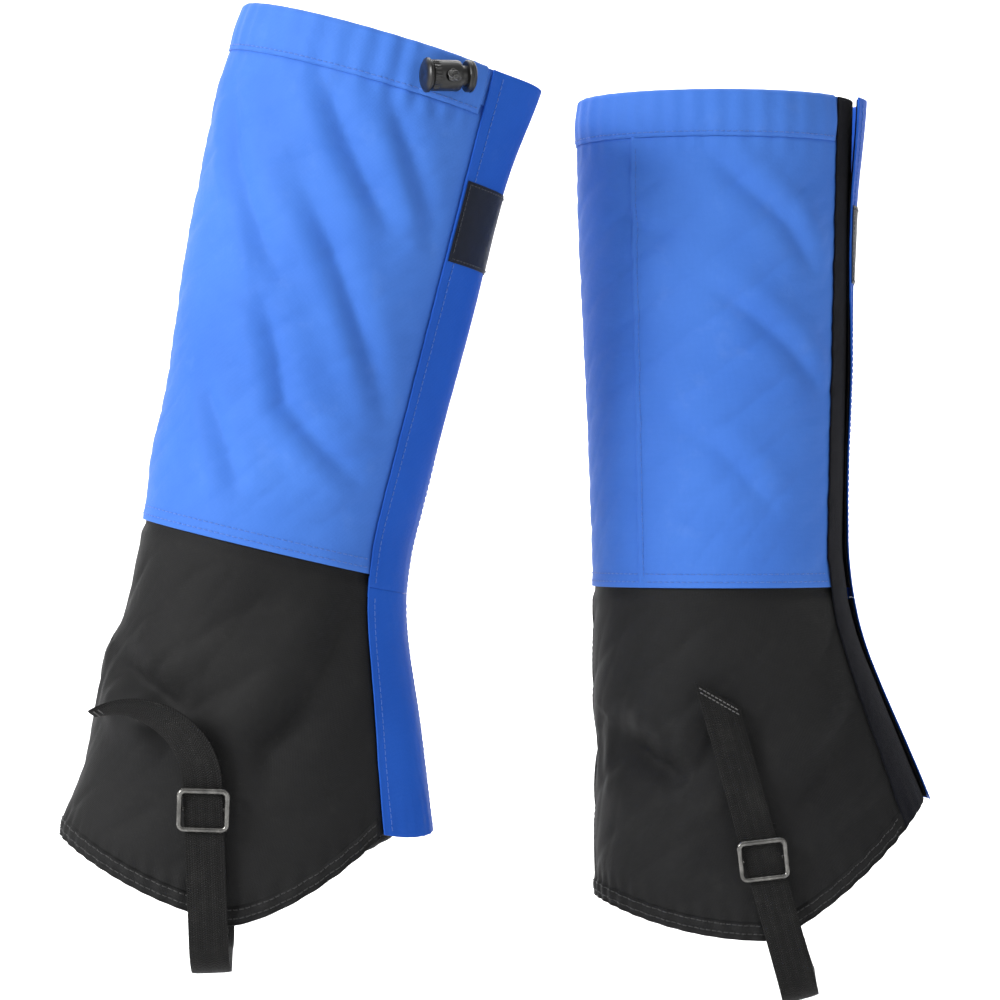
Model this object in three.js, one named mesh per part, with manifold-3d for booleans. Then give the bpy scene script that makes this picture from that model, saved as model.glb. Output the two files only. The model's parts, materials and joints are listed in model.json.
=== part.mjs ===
// A pair of hiking gaiters, upright as they are worn: the left leg's stands straight, the right leg's leans.
// Millimetres. +Z is up, +X is forward (over the toes), +Y is the wearer's left.
//
// Each gaiter is drawn in a frame of its own: x forward, y across the leg, z up from a little above the
// strap's floor. Every layer of its wall is given by an angle round the leg, a height and an offset: the
// angle is 0 at the front, 90 on the outer side and 180 at the heel.

import * as THREE from 'three';
import Module from 'manifold-3d';
import { mergeVertices } from 'three/addons/utils/BufferGeometryUtils.js';

const wasm = await Module();
wasm.setup();

const { lerp, degToRad } = THREE.MathUtils;

// ---------------------------------------------------------------- driving dimensions

// The leg tube: an oval at the rim and at the ankle, and a larger oval at the hem.
const rimHeight = 464;
const ankleHeight = 205;
const rim = { halfLength: 69, halfWidth: 56, forward: -1.5 };
const ankle = { halfLength: 62.5, halfWidth: 50, forward: -1.5 };
const hem = { halfLength: 84, halfWidth: 50, forward: 21 };
const hemLow = 32;
const hemInstepRise = 67;
const hemHeelRise = 18;

// Cloth, the gaps between its layers, and how far a piece stops short of an edge that it lies along.
const cloth = 1.2;
const gap = 0.3;
const seamGapAngle = 0.3;
const angleStep = 10;
const edgeInset = 1;
const edgeInsetAngle = 1;

// Where the panels meet.
const flapSeamAngle = 40;
const underlapAngle = 4;
const upperBackSeamAngle = 230;
const heelSeamAngle = 180;
const innerFrontAngle = 370;
const panelSeamHeight = 211;
const panelLap = 8;
const panelStep = 2;

// The collar, its drawcord and the eyelet that the cord leaves by.
const collarHeight = 24;
const collarGrip = 6;
const collarShoulder = 4;
const cordDiameter = 3;
const channelClearance = 0.45;
const cordTurn = 2.5;
const eyeletAngle = 64;
const cordRise = 2.7;
const eyeletWall = 0.8;
const eyeletFlangeRadius = 4.6;
const eyeletFlange = 0.8;
const eyeletChamfer = 0.4;
const eyeletClearance = 0.5;

// Hem facing, ankle elastic and the two halves of the hook-and-loop closure.
const hemFacingWidth = 7;
const elasticHeight = 128;
const elasticWidth = 12;
const elasticFrom = 110;
const elasticTo = 250;
const tapeThickness = 1;
const loopTapeFrom = 329;
const tapeFrontAngle = 8;

// The front flap, which bends with the ankle, and its label.
const flapAngleStep = 5;
const flapFreeAngleAtRim = -18;
const flapFreeAngleAtAnkle = -4;
const flapFreeAngleAtHem = -3;
const flapBendGap = 0.6;
const flapBendNotch = 10;
const flapClearance = 0.5;
const flapRiseAngle = 30;
const labelThickness = 0.5;
const labelTop = 408;
const labelHeight = 40;

// The webbing strap under the foot and the slider on each side.
const webbingWidth = 19;
const webbingThickness = 1.3;
const strapSlant = 15.5;
const outerSlider = { forward: 0, height: 83 };
const innerSlider = { forward: 19, height: 74 };
const strapFloor = -9.3;
const strapBendRadius = 15;
const strapDrift = 6;
const strapLeadIn = 17;
const tailLength = 86;
const curlAngle = 110;
const curlTwist = 78;
const curlSpread = 4;
const curlStart = 2;
const sliderMisalign = 4;
const wireDiameter = 2.6;
const sliderSideClearance = 1.3;
const sliderHeight = 22;
const sliderCornerRadius = 3.5;
const centreBarDiameter = 2.2;
const tabThickness = 1;
const tabInset = 1;
const tabLength = 17;

// The barrel cord lock.
const barrelRadius = 7.5;
const barrelLength = 18;
const barrelFlangeRadius = 8.4;
const barrelFlange = 2.4;
const barrelEndWall = 2;
const boreRadius = 5.3;
const plungerClearance = 0.3;
const plungerTravel = 3;
const plungerHeadRadius = 7.8;
const plungerHeadLength = 4;
const plungerLength = 13;
const lockHoleFromMouth = 6;
const lockHoleClearance = 0.4;
const knotRadius = 2.7;
const knotRecessDepth = 1.6;
const barrelChamfer = 0.8;
const plungerChamfer = 0.5;
const headChamfer = 1;
const springWire = 0.6;
const springTurns = 4;

// How the two gaiters stand beside each other.
const pairSpacing = { left: 114, right: -161.6 };
const pairDepth = 86;
const rightLean = 13.3;
const rightRaise = 26;
const rightTakeUp = 9;

// ---------------------------------------------------------------- derived sizes

const clothOuter = cloth;
const overCloth = clothOuter + gap;
const liningInner = -gap - cloth;
const loopTapeOuter = overCloth + tapeThickness;
const hookTapeInner = loopTapeOuter + flapClearance;
const flapOverTape = hookTapeInner + tapeThickness + gap;
const flapOverCloth = clothOuter + flapClearance;
const cordRadius = cordDiameter / 2;
const collarBottom = rimHeight - collarHeight;
const panelTop = collarBottom + collarGrip;
const edgeTop = rimHeight - edgeInset;
const elasticLow = elasticHeight - elasticWidth / 2;
const elasticHigh = elasticHeight + elasticWidth / 2;
const channelFloor = panelTop + gap + collarShoulder;
const eyeletHeight = channelFloor + cordRise;

const sliderWidth = webbingWidth + 2 * sliderSideClearance + 2 * wireDiameter;
const tabWidth = webbingWidth - 2 * tabInset;

// Offsets of the slider's parts from the outer face of the panel that carries them.
const tabRingRadius = centreBarDiameter / 2 + gap + tabThickness;
const centreBarLift = gap + tabRingRadius;
const strapBackLift = centreBarLift + tabRingRadius + gap;
const strapFrontLift = strapBackLift + webbingThickness;
const frameLift = strapFrontLift + gap + wireDiameter / 2;

// Directions of the strap seen from the side: across its width, and up along it.
const slant = degToRad(strapSlant);
const acrossStrap = new THREE.Vector3(Math.cos(slant), 0, Math.sin(slant));
const alongStrap = new THREE.Vector3(-Math.sin(slant), 0, Math.cos(slant));

// ---------------------------------------------------------------- materials

function material(color, roughness, metalness = 0) {
  return new THREE.MeshStandardMaterial({ color, roughness, metalness });
}

const blueCloth = material(0x3f75e0, 0.75);
const blackCloth = material(0x2e2e2e, 0.8);
const blackWebbing = material(0x1f1f1f, 0.85);
const tapeBlack = material(0x0a0c18, 0.95);
const labelBlack = material(0x141a28, 0.6);
const elasticBlack = material(0x232323, 0.9);
const cordBlack = material(0x161616, 0.8);
const greyMetal = material(0x9a9590, 0.35, 1);
const springSteel = material(0xb4b4b0, 0.3, 1);
const blackPlastic = material(0x2b2622, 0.45);

// ---------------------------------------------------------------- solids from points

// Turns points and triangles into a geometry whose faces point out of the solid.
function closedGeometry(points, triangles) {
  let volume = 0;
  for (const [a, b, c] of triangles) {
    volume += points[a].dot(points[b].clone().cross(points[c]));
  }
  const facing = volume > 0 ? triangles : triangles.map(([a, b, c]) => [a, c, b]);
  const geometry = new THREE.BufferGeometry();
  geometry.setAttribute('position', new THREE.Float32BufferAttribute(points.flatMap((p) => p.toArray()), 3));
  geometry.setIndex(facing.flat());
  geometry.computeVertexNormals();
  return geometry;
}

// A solid whose cross-sections are rings of points: its sides join ring to ring and its ends are capped.
function ringSolid(rings, capTriangles) {
  const size = rings[0].length;
  const triangles = [];
  for (let r = 0; r + 1 < rings.length; r += 1) {
    for (let i = 0; i < size; i += 1) {
      const here = r * size + i;
      const next = r * size + ((i + 1) % size);
      triangles.push([here, next, next + size], [here, next + size, here + size]);
    }
  }
  const last = (rings.length - 1) * size;
  for (const [a, b, c] of capTriangles) {
    triangles.push([a, c, b], [last + a, last + b, last + c]);
  }
  return closedGeometry(rings.flat(), triangles);
}

// A sheet with thickness: each row of the sheet is a line of outer points and the matching inner points.
function sheetSolid(rows) {
  const columns = rows[0].outer.length;
  const rings = rows.map(({ outer, inner }) => [...outer, ...[...inner].reverse()]);
  const cap = [];
  for (let i = 0; i + 1 < columns; i += 1) {
    const far = 2 * columns - 1 - i;
    cap.push([i, i + 1, far - 1], [i, far - 1, far]);
  }
  return ringSolid(rings, cap);
}

function toManifold(geometry) {
  const bare = geometry.clone();
  bare.deleteAttribute('normal');
  bare.deleteAttribute('uv');
  const merged = mergeVertices(bare, 1e-4);
  const mesh = new wasm.Mesh({
    numProp: 3,
    vertProperties: new Float32Array(merged.attributes.position.array),
    triVerts: new Uint32Array(merged.index.array),
  });
  return new wasm.Manifold(mesh);
}

function fromManifold(solid) {
  const { vertProperties, triVerts } = solid.getMesh();
  const geometry = new THREE.BufferGeometry();
  geometry.setAttribute('position', new THREE.BufferAttribute(vertProperties, 3));
  geometry.setIndex(new THREE.BufferAttribute(triVerts, 1));
  geometry.computeVertexNormals();
  return geometry;
}

function subtract(geometry, ...tools) {
  return fromManifold(tools.reduce((solid, tool) => solid.subtract(toManifold(tool)), toManifold(geometry)));
}

function unite(geometry, ...others) {
  return fromManifold(others.reduce((solid, other) => solid.add(toManifold(other)), toManifold(geometry)));
}

// A cylinder along z, x or y, centred on the origin.
function rod(radius, length, axis, sides = 24) {
  const geometry = new THREE.CylinderGeometry(radius, radius, length, sides);
  if (axis === 'z') {
    geometry.rotateX(Math.PI / 2);
  } else if (axis === 'x') {
    geometry.rotateZ(Math.PI / 2);
  }
  return geometry;
}

// Whole multiples of the step between two angles, and the two ends: layers that share them lie evenly.
function anglesBetween(from, to) {
  const [low, high] = from < to ? [from, to] : [to, from];
  const first = Math.floor(low / angleStep) + 1;
  const count = Math.ceil(high / angleStep) - first;
  const between = Array.from({ length: count }, (_, i) => (first + i) * angleStep);
  const angles = [low, ...between.filter((angle) => angle > low + 0.5 && angle < high - 0.5), high];
  return from < to ? angles : angles.reverse();
}

// ---------------------------------------------------------------- the wall of a gaiter

// The hem dips between heel and instep. It climbs most over the instep, where it runs level across the flap.
function hemHeight(angle) {
  const turn = degToRad(angle);
  const forward = Math.cos(turn);
  if (forward <= 0) {
    return hemLow + hemHeelRise * forward ** 2;
  }
  const outerSide = Math.sin(turn) > 0;
  const flapEdge = outerSide ? Math.cos(degToRad(flapSeamAngle)) : 1;
  return hemLow + hemInstepRise * Math.min(forward / flapEdge, 1) ** 1.4;
}

// The oval at a height: straight lines run from rim to ankle and from ankle to hem at every angle.
function ovalAt(angle, height) {
  if (height >= ankleHeight) {
    const up = (height - ankleHeight) / (rimHeight - ankleHeight);
    return ovalBetween(ankle, rim, up);
  }
  const down = (ankleHeight - height) / (ankleHeight - hemHeight(angle));
  return ovalBetween(ankle, hem, down);
}

function ovalBetween(from, to, share) {
  return {
    forward: lerp(from.forward, to.forward, share),
    halfLength: lerp(from.halfLength, to.halfLength, share),
    halfWidth: lerp(from.halfWidth, to.halfWidth, share),
  };
}

// A point of the wall. Side is 1 where the outer side faces +Y (left leg) and -1 where it faces -Y.
function wallPoint(side, angle, height, offset) {
  const oval = ovalAt(angle, height);
  const turn = degToRad(angle);
  return new THREE.Vector3(
    oval.forward + (oval.halfLength + offset) * Math.cos(turn),
    side * (oval.halfWidth + offset) * Math.sin(turn),
    height,
  );
}

// The direction straight out of the wall's upper tube at an angle.
function wallNormal(side, angle, height) {
  const oval = ovalAt(angle, height);
  const turn = degToRad(angle);
  return new THREE.Vector3(
    Math.cos(turn) * oval.halfWidth,
    side * Math.sin(turn) * oval.halfLength,
    0,
  ).normalize();
}

// A piece of cloth on the wall. Each edge line gives a height and the two offsets at an angle.
function wallCloth(side, angles, edgeLines) {
  return sheetSolid(angles.map((angle) => {
    const lines = edgeLines(angle);
    return {
      outer: lines.map((line) => wallPoint(side, angle, line.height, line.outer)),
      inner: lines.map((line) => wallPoint(side, angle, line.height, line.inner)),
    };
  }));
}

const layer = (height, inner, thickness) => ({ height, inner, outer: inner + thickness });

// ---------------------------------------------------------------- panels

// The panels stop inside the collar, and run up to the rim where they pass its two ends.
function upperPanel(side, from, to, collarFrom, collarTo) {
  const step = 2 * seamGapAngle;
  const within = anglesBetween(from, to);
  const steps = [collarFrom - step, collarFrom, collarTo, collarTo + step];
  const angles = [...within, ...steps.filter((angle) => angle > from && angle < to)].sort((a, b) => a - b);
  return wallCloth(side, angles, (angle) => {
    const top = angle >= collarFrom && angle <= collarTo ? panelTop : edgeTop;
    return [layer(panelSeamHeight, 0, cloth), layer(top, 0, cloth)];
  });
}

// The black panels tuck in behind the folded lower edge of the blue ones.
function lowerPanel(side, from, to) {
  return wallCloth(side, anglesBetween(from, to), (angle) => [
    layer(hemHeight(angle), 0, cloth),
    layer(elasticLow, 0, cloth),
    layer(elasticHigh, 0, cloth),
    layer(ankleHeight, 0, cloth),
    layer(panelSeamHeight - panelStep, liningInner, cloth),
    layer(panelSeamHeight + panelLap, liningInner, cloth),
  ]);
}

function hemFacing(side) {
  const angles = anglesBetween(flapSeamAngle + edgeInsetAngle, innerFrontAngle - edgeInsetAngle);
  return wallCloth(side, angles, (angle) => [
    layer(hemHeight(angle) + gap, liningInner, cloth),
    layer(hemHeight(angle) + gap + hemFacingWidth, liningInner, cloth),
  ]);
}

function ankleElastic(side) {
  return wallCloth(side, anglesBetween(elasticFrom, elasticTo), () => [
    layer(elasticLow, liningInner, cloth),
    layer(elasticHigh, liningInner, cloth),
  ]);
}

function loopTape(side) {
  return wallCloth(side, anglesBetween(loopTapeFrom, 360 + tapeFrontAngle), (angle) => [
    layer(hemHeight(angle) + edgeInset, overCloth, tapeThickness),
    layer(ankleHeight, overCloth, tapeThickness),
    layer(edgeTop, overCloth, tapeThickness),
  ]);
}

// ---------------------------------------------------------------- flap

// The flap lies on the panel at its seam and has risen over the two tapes before it reaches them.
function flapInner(angle) {
  const clear = (flapSeamAngle - angle) / flapRiseAngle;
  return lerp(flapOverCloth, flapOverTape, Math.min(clear, 1));
}

// The free edge runs from its angle at the rim to its angle at the ankle, and on to the hem.
function flapFreeAngle(height) {
  if (height >= ankleHeight) {
    const up = (height - ankleHeight) / (rimHeight - ankleHeight);
    return lerp(flapFreeAngleAtAnkle, flapFreeAngleAtRim, up);
  }
  const down = (ankleHeight - height) / (ankleHeight - hemLow - hemInstepRise);
  return lerp(flapFreeAngleAtAnkle, flapFreeAngleAtHem, Math.min(down, 1));
}

// Cloth that follows the flap between two heights, from one share of its width to another.
function alongFlap(side, lowHeight, highHeight, startAngle, endAngle, inset, thickness) {
  const columns = Math.ceil((startAngle - endAngle(ankleHeight)) / flapAngleStep);
  const rows = Array.from({ length: columns + 1 }, (_, i) => i / columns);
  return sheetSolid(rows.map((share) => {
    const edge = (heightAt) => {
      const rough = lerp(startAngle, endAngle(heightAt(startAngle)), share);
      const height = heightAt(rough);
      const angle = lerp(startAngle, endAngle(height), share);
      const inner = flapInner(angle) + inset;
      return [
        wallPoint(side, angle, height, inner + thickness),
        wallPoint(side, angle, height, inner),
      ];
    };
    const [lowOuter, lowInner] = edge(lowHeight);
    const [highOuter, highInner] = edge(highHeight);
    return { outer: [lowOuter, highOuter], inner: [lowInner, highInner] };
  }));
}

// The lower half's top edge falls away from the upper half, so that the halves clear each other as they open.
function bendBelow(angle) {
  const across = (flapSeamAngle - angle) / (flapSeamAngle - flapFreeAngleAtAnkle);
  return ankleHeight - flapBendGap / 2 - flapBendNotch * across;
}

const flapLow = (angle) => hemHeight(angle) + edgeInset;
const bendAbove = () => ankleHeight + flapBendGap / 2;
const flapTop = () => edgeTop;

function flapUpper(side) {
  return alongFlap(side, bendAbove, flapTop, flapSeamAngle, flapFreeAngle, 0, cloth);
}

function flapLower(side) {
  return alongFlap(side, flapLow, bendBelow, flapSeamAngle, flapFreeAngle, 0, cloth);
}

const hookTapeEnd = (height) => flapFreeAngle(height) + edgeInsetAngle;
const hookTapeInset = -gap - tapeThickness;

function hookTapeUpper(side) {
  const low = () => bendAbove() + edgeInset;
  const high = () => flapTop() - edgeInset;
  return alongFlap(side, low, high, tapeFrontAngle, hookTapeEnd, hookTapeInset, tapeThickness);
}

function hookTapeLower(side) {
  const low = (angle) => flapLow(angle) + edgeInset;
  const high = (angle) => bendBelow(angle) - edgeInset;
  return alongFlap(side, low, high, tapeFrontAngle, hookTapeEnd, hookTapeInset, tapeThickness);
}

function label(side) {
  const low = () => labelTop - labelHeight;
  const high = () => labelTop;
  const seamEdge = flapSeamAngle - edgeInsetAngle;
  return alongFlap(side, low, high, seamEdge, hookTapeEnd, cloth + gap, labelThickness);
}

// ---------------------------------------------------------------- collar, drawcord, eyelet

const collarFromAngle = flapSeamAngle + 2 * edgeInsetAngle;
const collarToAngle = loopTapeFrom - edgeInsetAngle;
const cordOffset = overCloth - channelClearance - cordRadius;

// The folded collar in section: two legs that grip the panel's top edge, and the cord's channel above them.
function collarSection() {
  const outerFace = overCloth + cloth;
  const channelInner = cordOffset - cordRadius - channelClearance;
  const lipTop = panelTop + gap;
  return [
    [overCloth, collarBottom],
    [outerFace, collarBottom],
    [outerFace, rimHeight],
    [channelInner - cloth, rimHeight],
    [channelInner - cloth, channelFloor - cloth],
    [liningInner, lipTop - cloth],
    [liningInner, collarBottom],
    [-gap, collarBottom],
    [-gap, lipTop],
    [channelInner, channelFloor],
    [channelInner, rimHeight - cloth],
    [overCloth, rimHeight - cloth],
  ];
}

// A frame on the wall at the eyelet: z out of the wall, x towards the front and turned by the swivel.
function eyeletFrame(side, lift, swivel) {
  const outward = wallNormal(side, eyeletAngle, eyeletHeight);
  const level = new THREE.Vector3(outward.y, -outward.x, 0).multiplyScalar(side);
  const forward = level.applyAxisAngle(outward, -side * degToRad(swivel));
  const basis = new THREE.Matrix4().makeBasis(forward, outward.clone().cross(forward), outward);
  const frame = new THREE.Group();
  frame.applyMatrix4(basis);
  frame.position.copy(wallPoint(side, eyeletAngle, eyeletHeight, 0)).addScaledVector(outward, lift);
  frame.updateMatrixWorld(true);
  return frame;
}

const eyeletBoreRadius = cordRadius + eyeletClearance;
const eyeletBarrelRadius = eyeletBoreRadius + eyeletWall;
const eyeletFace = overCloth + cloth + gap;
const eyeletTop = eyeletFace + eyeletFlange;

function collar(side) {
  const section = collarSection();
  const cap = THREE.ShapeUtils.triangulateShape(section.map(([x, y]) => new THREE.Vector2(x, y)), []);
  const rings = anglesBetween(collarFromAngle, collarToAngle).map((angle) => (
    section.map(([offset, height]) => wallPoint(side, angle, height, offset))
  ));
  const hole = rod(eyeletBarrelRadius + gap, 2 * cloth, 'z');
  hole.applyMatrix4(eyeletFrame(side, overCloth + cloth / 2, 0).matrixWorld);
  return subtract(ringSolid(rings, cap), hole);
}

// The eyelet's barrel stands in the collar's hole, and its flange lies on the collar.
function eyelet() {
  const profile = [
    [eyeletBoreRadius, overCloth],
    [eyeletBarrelRadius, overCloth],
    [eyeletBarrelRadius, eyeletFace],
    [eyeletFlangeRadius, eyeletFace],
    [eyeletFlangeRadius - eyeletChamfer, eyeletTop],
    [eyeletBoreRadius, eyeletTop],
    [eyeletBoreRadius, overCloth],
  ];
  const geometry = new THREE.LatheGeometry(profile.map(([x, y]) => new THREE.Vector2(x, y)), 24);
  return geometry.rotateX(Math.PI / 2);
}

// The lock hangs on the cord just off the eyelet, and the cord's knot sits in a recess of its outer face.
const lockAxisLift = eyeletTop + gap + barrelRadius;
const knotLift = lockAxisLift + barrelRadius - knotRecessDepth + gap + knotRadius;

// A curve whose steps fall on its own points, so that a tight bend keeps the points it was given.
class StepwiseCurve extends THREE.CatmullRomCurve3 {
  getUtoTmapping(u) {
    return u;
  }
}

// The cord is anchored at the far end of the channel, runs round behind the leg and leaves by the eyelet.
function drawcord(side) {
  const outward = wallNormal(side, eyeletAngle, eyeletHeight);
  const back = new THREE.Vector3(-outward.y, outward.x, 0).multiplyScalar(side);
  const exit = wallPoint(side, eyeletAngle, eyeletHeight, 0);
  const at = (lift, behind) => exit.clone().addScaledVector(outward, lift).addScaledVector(back, behind);
  const inChannel = anglesBetween(collarToAngle - 1, eyeletAngle + 10).map((angle) => (
    wallPoint(side, angle, eyeletHeight, cordOffset)
  ));
  const bend = [0, 22.5, 45, 67.5, 90].map((angle) => {
    const turn = degToRad(angle);
    return at(cordOffset + cordTurn * (1 - Math.cos(turn)), cordTurn * (1 - Math.sin(turn)));
  });
  const knotSeat = at(knotLift, 0);
  const path = new StepwiseCurve([...inChannel, ...bend, at(eyeletTop, 0), at(lockAxisLift, 0), knotSeat]);
  return unite(tubeAlong(path, cordRadius, 8, path.points.length - 1), knot(knotSeat));
}

function knot(place) {
  const geometry = new THREE.SphereGeometry(knotRadius, 12, 8);
  return geometry.translate(place.x, place.y, place.z);
}

// A round section swept along a curve.
function tubeAlong(path, radius, sides, steps) {
  const round = Array.from({ length: sides }, (_, i) => {
    const turn = (2 * Math.PI * i) / sides;
    return new THREE.Vector2(radius * Math.cos(turn), radius * Math.sin(turn));
  });
  return new THREE.ExtrudeGeometry(new THREE.Shape(round), { steps, bevelEnabled: false, extrudePath: path });
}

// ---------------------------------------------------------------- cord lock

// Along the lock's own x: 0 is the cord's hole, the plunger points forward.
const barrelMouth = lockHoleFromMouth;
const barrelEnd = barrelMouth - barrelLength;
const boreEnd = barrelEnd + barrelFlange + barrelEndWall;
const plungerHeadFrom = barrelMouth + plungerTravel + gap;
const plungerShankEnd = barrelMouth + plungerTravel + gap - plungerLength;
const plungerRadius = boreRadius - plungerClearance;
const lockHoleRadius = cordRadius + lockHoleClearance;

function turnedAlongX(profile, sides = 28) {
  const geometry = new THREE.LatheGeometry(profile.map(([x, y]) => new THREE.Vector2(y, x)), sides);
  return geometry.rotateZ(-Math.PI / 2);
}

function lockBarrel() {
  const body = turnedAlongX([
    [barrelEnd, 0],
    [barrelEnd, barrelFlangeRadius - 2 * barrelChamfer],
    [barrelEnd + barrelChamfer, barrelFlangeRadius],
    [barrelEnd + barrelFlange, barrelFlangeRadius],
    [barrelEnd + barrelFlange + barrelChamfer, barrelRadius],
    [barrelMouth - barrelChamfer, barrelRadius],
    [barrelMouth, barrelRadius - barrelChamfer],
    [barrelMouth, boreRadius],
    [boreEnd, boreRadius],
    [boreEnd, 0],
  ]);
  const hole = rod(lockHoleRadius, 2 * barrelRadius + 2, 'z');
  const recess = rod(knotRadius + gap, knotRecessDepth, 'z');
  recess.translate(0, 0, barrelRadius - knotRecessDepth / 2 + 0.01);
  return subtract(body, hole, recess);
}

// The plunger's slot grips the cord at rest and lets it run when the head is pressed home.
function lockPlunger() {
  const body = turnedAlongX([
    [plungerShankEnd, 0],
    [plungerShankEnd, plungerRadius - plungerChamfer],
    [plungerShankEnd + plungerChamfer, plungerRadius],
    [plungerHeadFrom, plungerRadius],
    [plungerHeadFrom, plungerHeadRadius - headChamfer],
    [plungerHeadFrom + headChamfer, plungerHeadRadius],
    [plungerHeadFrom + plungerHeadLength - headChamfer, plungerHeadRadius],
    [plungerHeadFrom + plungerHeadLength, plungerHeadRadius - headChamfer],
    [plungerHeadFrom + plungerHeadLength, 0],
  ]);
  const slotReach = cordRadius + gap;
  const near = rod(slotReach, 2 * barrelRadius, 'z');
  const far = near.clone().translate(plungerTravel, 0, 0);
  const middle = new THREE.BoxGeometry(plungerTravel, 2 * slotReach, 2 * barrelRadius);
  middle.translate(plungerTravel / 2, 0, 0);
  return subtract(body, near, far, middle);
}

class Helix extends THREE.Curve {
  constructor(radius, from, to, turns) {
    super();
    Object.assign(this, { radius, from, to, turns });
  }

  getPoint(t, target = new THREE.Vector3()) {
    const turn = 2 * Math.PI * this.turns * t;
    const x = lerp(this.from, this.to, t);
    return target.set(x, this.radius * Math.cos(turn), this.radius * Math.sin(turn));
  }
}

function lockSpring() {
  const room = springWire / 2 + gap;
  const radius = plungerRadius - plungerChamfer - springWire;
  const coil = new Helix(radius, boreEnd + room, plungerShankEnd - room, springTurns);
  return tubeAlong(coil, springWire / 2, 5, 13 * springTurns);
}

// ---------------------------------------------------------------- strap, sliders, tabs

// A place on the strap in a gaiter's frame: across and along lie in the side view, out is across the leg.
function strapPoint(across, along, out) {
  return new THREE.Vector3(0, out, 0).addScaledVector(acrossStrap, across).addScaledVector(alongStrap, along);
}

function acrossOf(slider) {
  return slider.forward * Math.cos(slant) + slider.height * Math.sin(slant);
}

function alongOf(slider) {
  return slider.height * Math.cos(slant) - slider.forward * Math.sin(slant);
}

// How far out the panel's face is at a slider, and the middle of the strap that runs through it.
const panelFace = (slider) => ovalAt(90, slider.height).halfWidth + clothOuter;
const legOut = (slider) => panelFace(slider) + strapBackLift + webbingThickness / 2;

// The strap's centre line under the foot, from one leg's bend to the other's: how far out, how far along, and
// the direction that its under face looks.
function underfootLine(floor) {
  const steps = 5;
  const bend = (slider, direction) => Array.from({ length: steps + 1 }, (_, i) => {
    const turn = (Math.PI / 2) * (i / steps);
    return {
      out: direction * (legOut(slider) - strapBendRadius * (1 - Math.cos(turn))),
      along: floor + webbingThickness / 2 + strapBendRadius * (1 - Math.sin(turn)),
      face: [direction * Math.cos(turn), -Math.sin(turn)],
    };
  });
  return [...bend(outerSlider, 1), ...bend(innerSlider, -1).reverse()];
}

// One cross-section of the webbing: two corners on its outer face and two on its inner face.
function webbingRow(across, along, out, face, sheared = 0) {
  const corner = (edge, depth) => strapPoint(
    across + (edge * webbingWidth) / 2,
    along + face[1] * depth - (edge * sheared) / 2,
    out + face[0] * depth,
  );
  const half = webbingThickness / 2;
  return { outer: [corner(-1, half), corner(1, half)], inner: [corner(-1, -half), corner(1, -half)] };
}

// A free tail's straight end, cut off at 45 degrees. Webbing taken up at this slider lengthens it.
function straightTail(slider, direction, takenUp) {
  const end = alongOf(slider) + tailLength + takenUp - webbingWidth / 2;
  return [webbingRow(acrossOf(slider), end, direction * legOut(slider), [direction, 0], webbingWidth)];
}

// A free tail that rises out of its slider, twists edge-on and falls over towards the heel.
function curledTail(slider, direction) {
  const straight = sliderHeight / 2 + curlStart;
  const arcRadius = (tailLength - straight) / degToRad(curlAngle);
  const steps = 8;
  const start = alongOf(slider) + straight;
  const rows = [webbingRow(acrossOf(slider), start, direction * legOut(slider), [direction, 0])];
  for (let i = 1; i <= steps; i += 1) {
    const share = i / steps;
    const bend = degToRad(curlAngle) * share;
    const twist = degToRad(curlTwist) * share;
    const centre = strapPoint(
      acrossOf(slider) - arcRadius * (1 - Math.cos(bend)),
      start + arcRadius * Math.sin(bend),
      direction * (legOut(slider) + curlSpread * share),
    );
    const side = strapPoint(Math.cos(bend), Math.sin(bend), 0);
    const outwards = new THREE.Vector3(0, direction, 0);
    const width = side.clone().multiplyScalar(Math.cos(twist)).addScaledVector(outwards, Math.sin(twist));
    const face = outwards.multiplyScalar(Math.cos(twist)).addScaledVector(side, -Math.sin(twist));
    const corner = (edge, depth) => centre.clone()
      .addScaledVector(width, (edge * webbingWidth) / 2)
      .addScaledVector(face, depth);
    const half = webbingThickness / 2;
    rows.push({ outer: [corner(-1, half), corner(1, half)], inner: [corner(-1, -half), corner(1, -half)] });
  }
  return rows;
}

// One length of webbing: tail, leg, under the foot, leg, tail. One leg drops straight from its slider. Under
// the foot the strap drifts away from the other slider, and its other leg slants back up to it.
function strap(side, straightAt, curled, takeUp) {
  const slantedAt = straightAt === outerSlider ? innerSlider : outerSlider;
  const away = Math.sign(acrossOf(straightAt) - acrossOf(slantedAt));
  const middle = underfootLine(strapFloor + takeUp).map(({ out, along, face }) => {
    const onSlantedSide = out > 0 === (slantedAt === outerSlider);
    const across = acrossOf(straightAt) + (onSlantedSide ? away * strapDrift : 0);
    return webbingRow(across, along, side * out, [side * face[0], face[1]]);
  });
  const direction = slantedAt === outerSlider ? side : -side;
  const leadIn = webbingRow(
    acrossOf(slantedAt), alongOf(slantedAt) - strapLeadIn, direction * legOut(slantedAt), [direction, 0],
  );
  const outerTail = (curled ? curledTail : straightTail)(outerSlider, side, 0).reverse();
  const innerTail = straightTail(innerSlider, -side, 2 * takeUp);
  if (slantedAt === outerSlider) {
    return sheetSolid([...outerTail, leadIn, ...middle, ...innerTail]);
  }
  return sheetSolid([...outerTail, ...middle, leadIn, ...innerTail]);
}

function roundedRectangle(target, width, height, radius) {
  const x = width / 2;
  const y = height / 2;
  target.moveTo(-x + radius, -y);
  target.lineTo(x - radius, -y);
  target.absarc(x - radius, -y + radius, radius, -Math.PI / 2, 0, false);
  target.lineTo(x, y - radius);
  target.absarc(x - radius, y - radius, radius, 0, Math.PI / 2, false);
  target.lineTo(-x + radius, y);
  target.absarc(-x + radius, y - radius, radius, Math.PI / 2, Math.PI, false);
  target.lineTo(-x, -y + radius);
  target.absarc(-x + radius, -y + radius, radius, Math.PI, 1.5 * Math.PI, false);
  return target;
}

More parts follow.
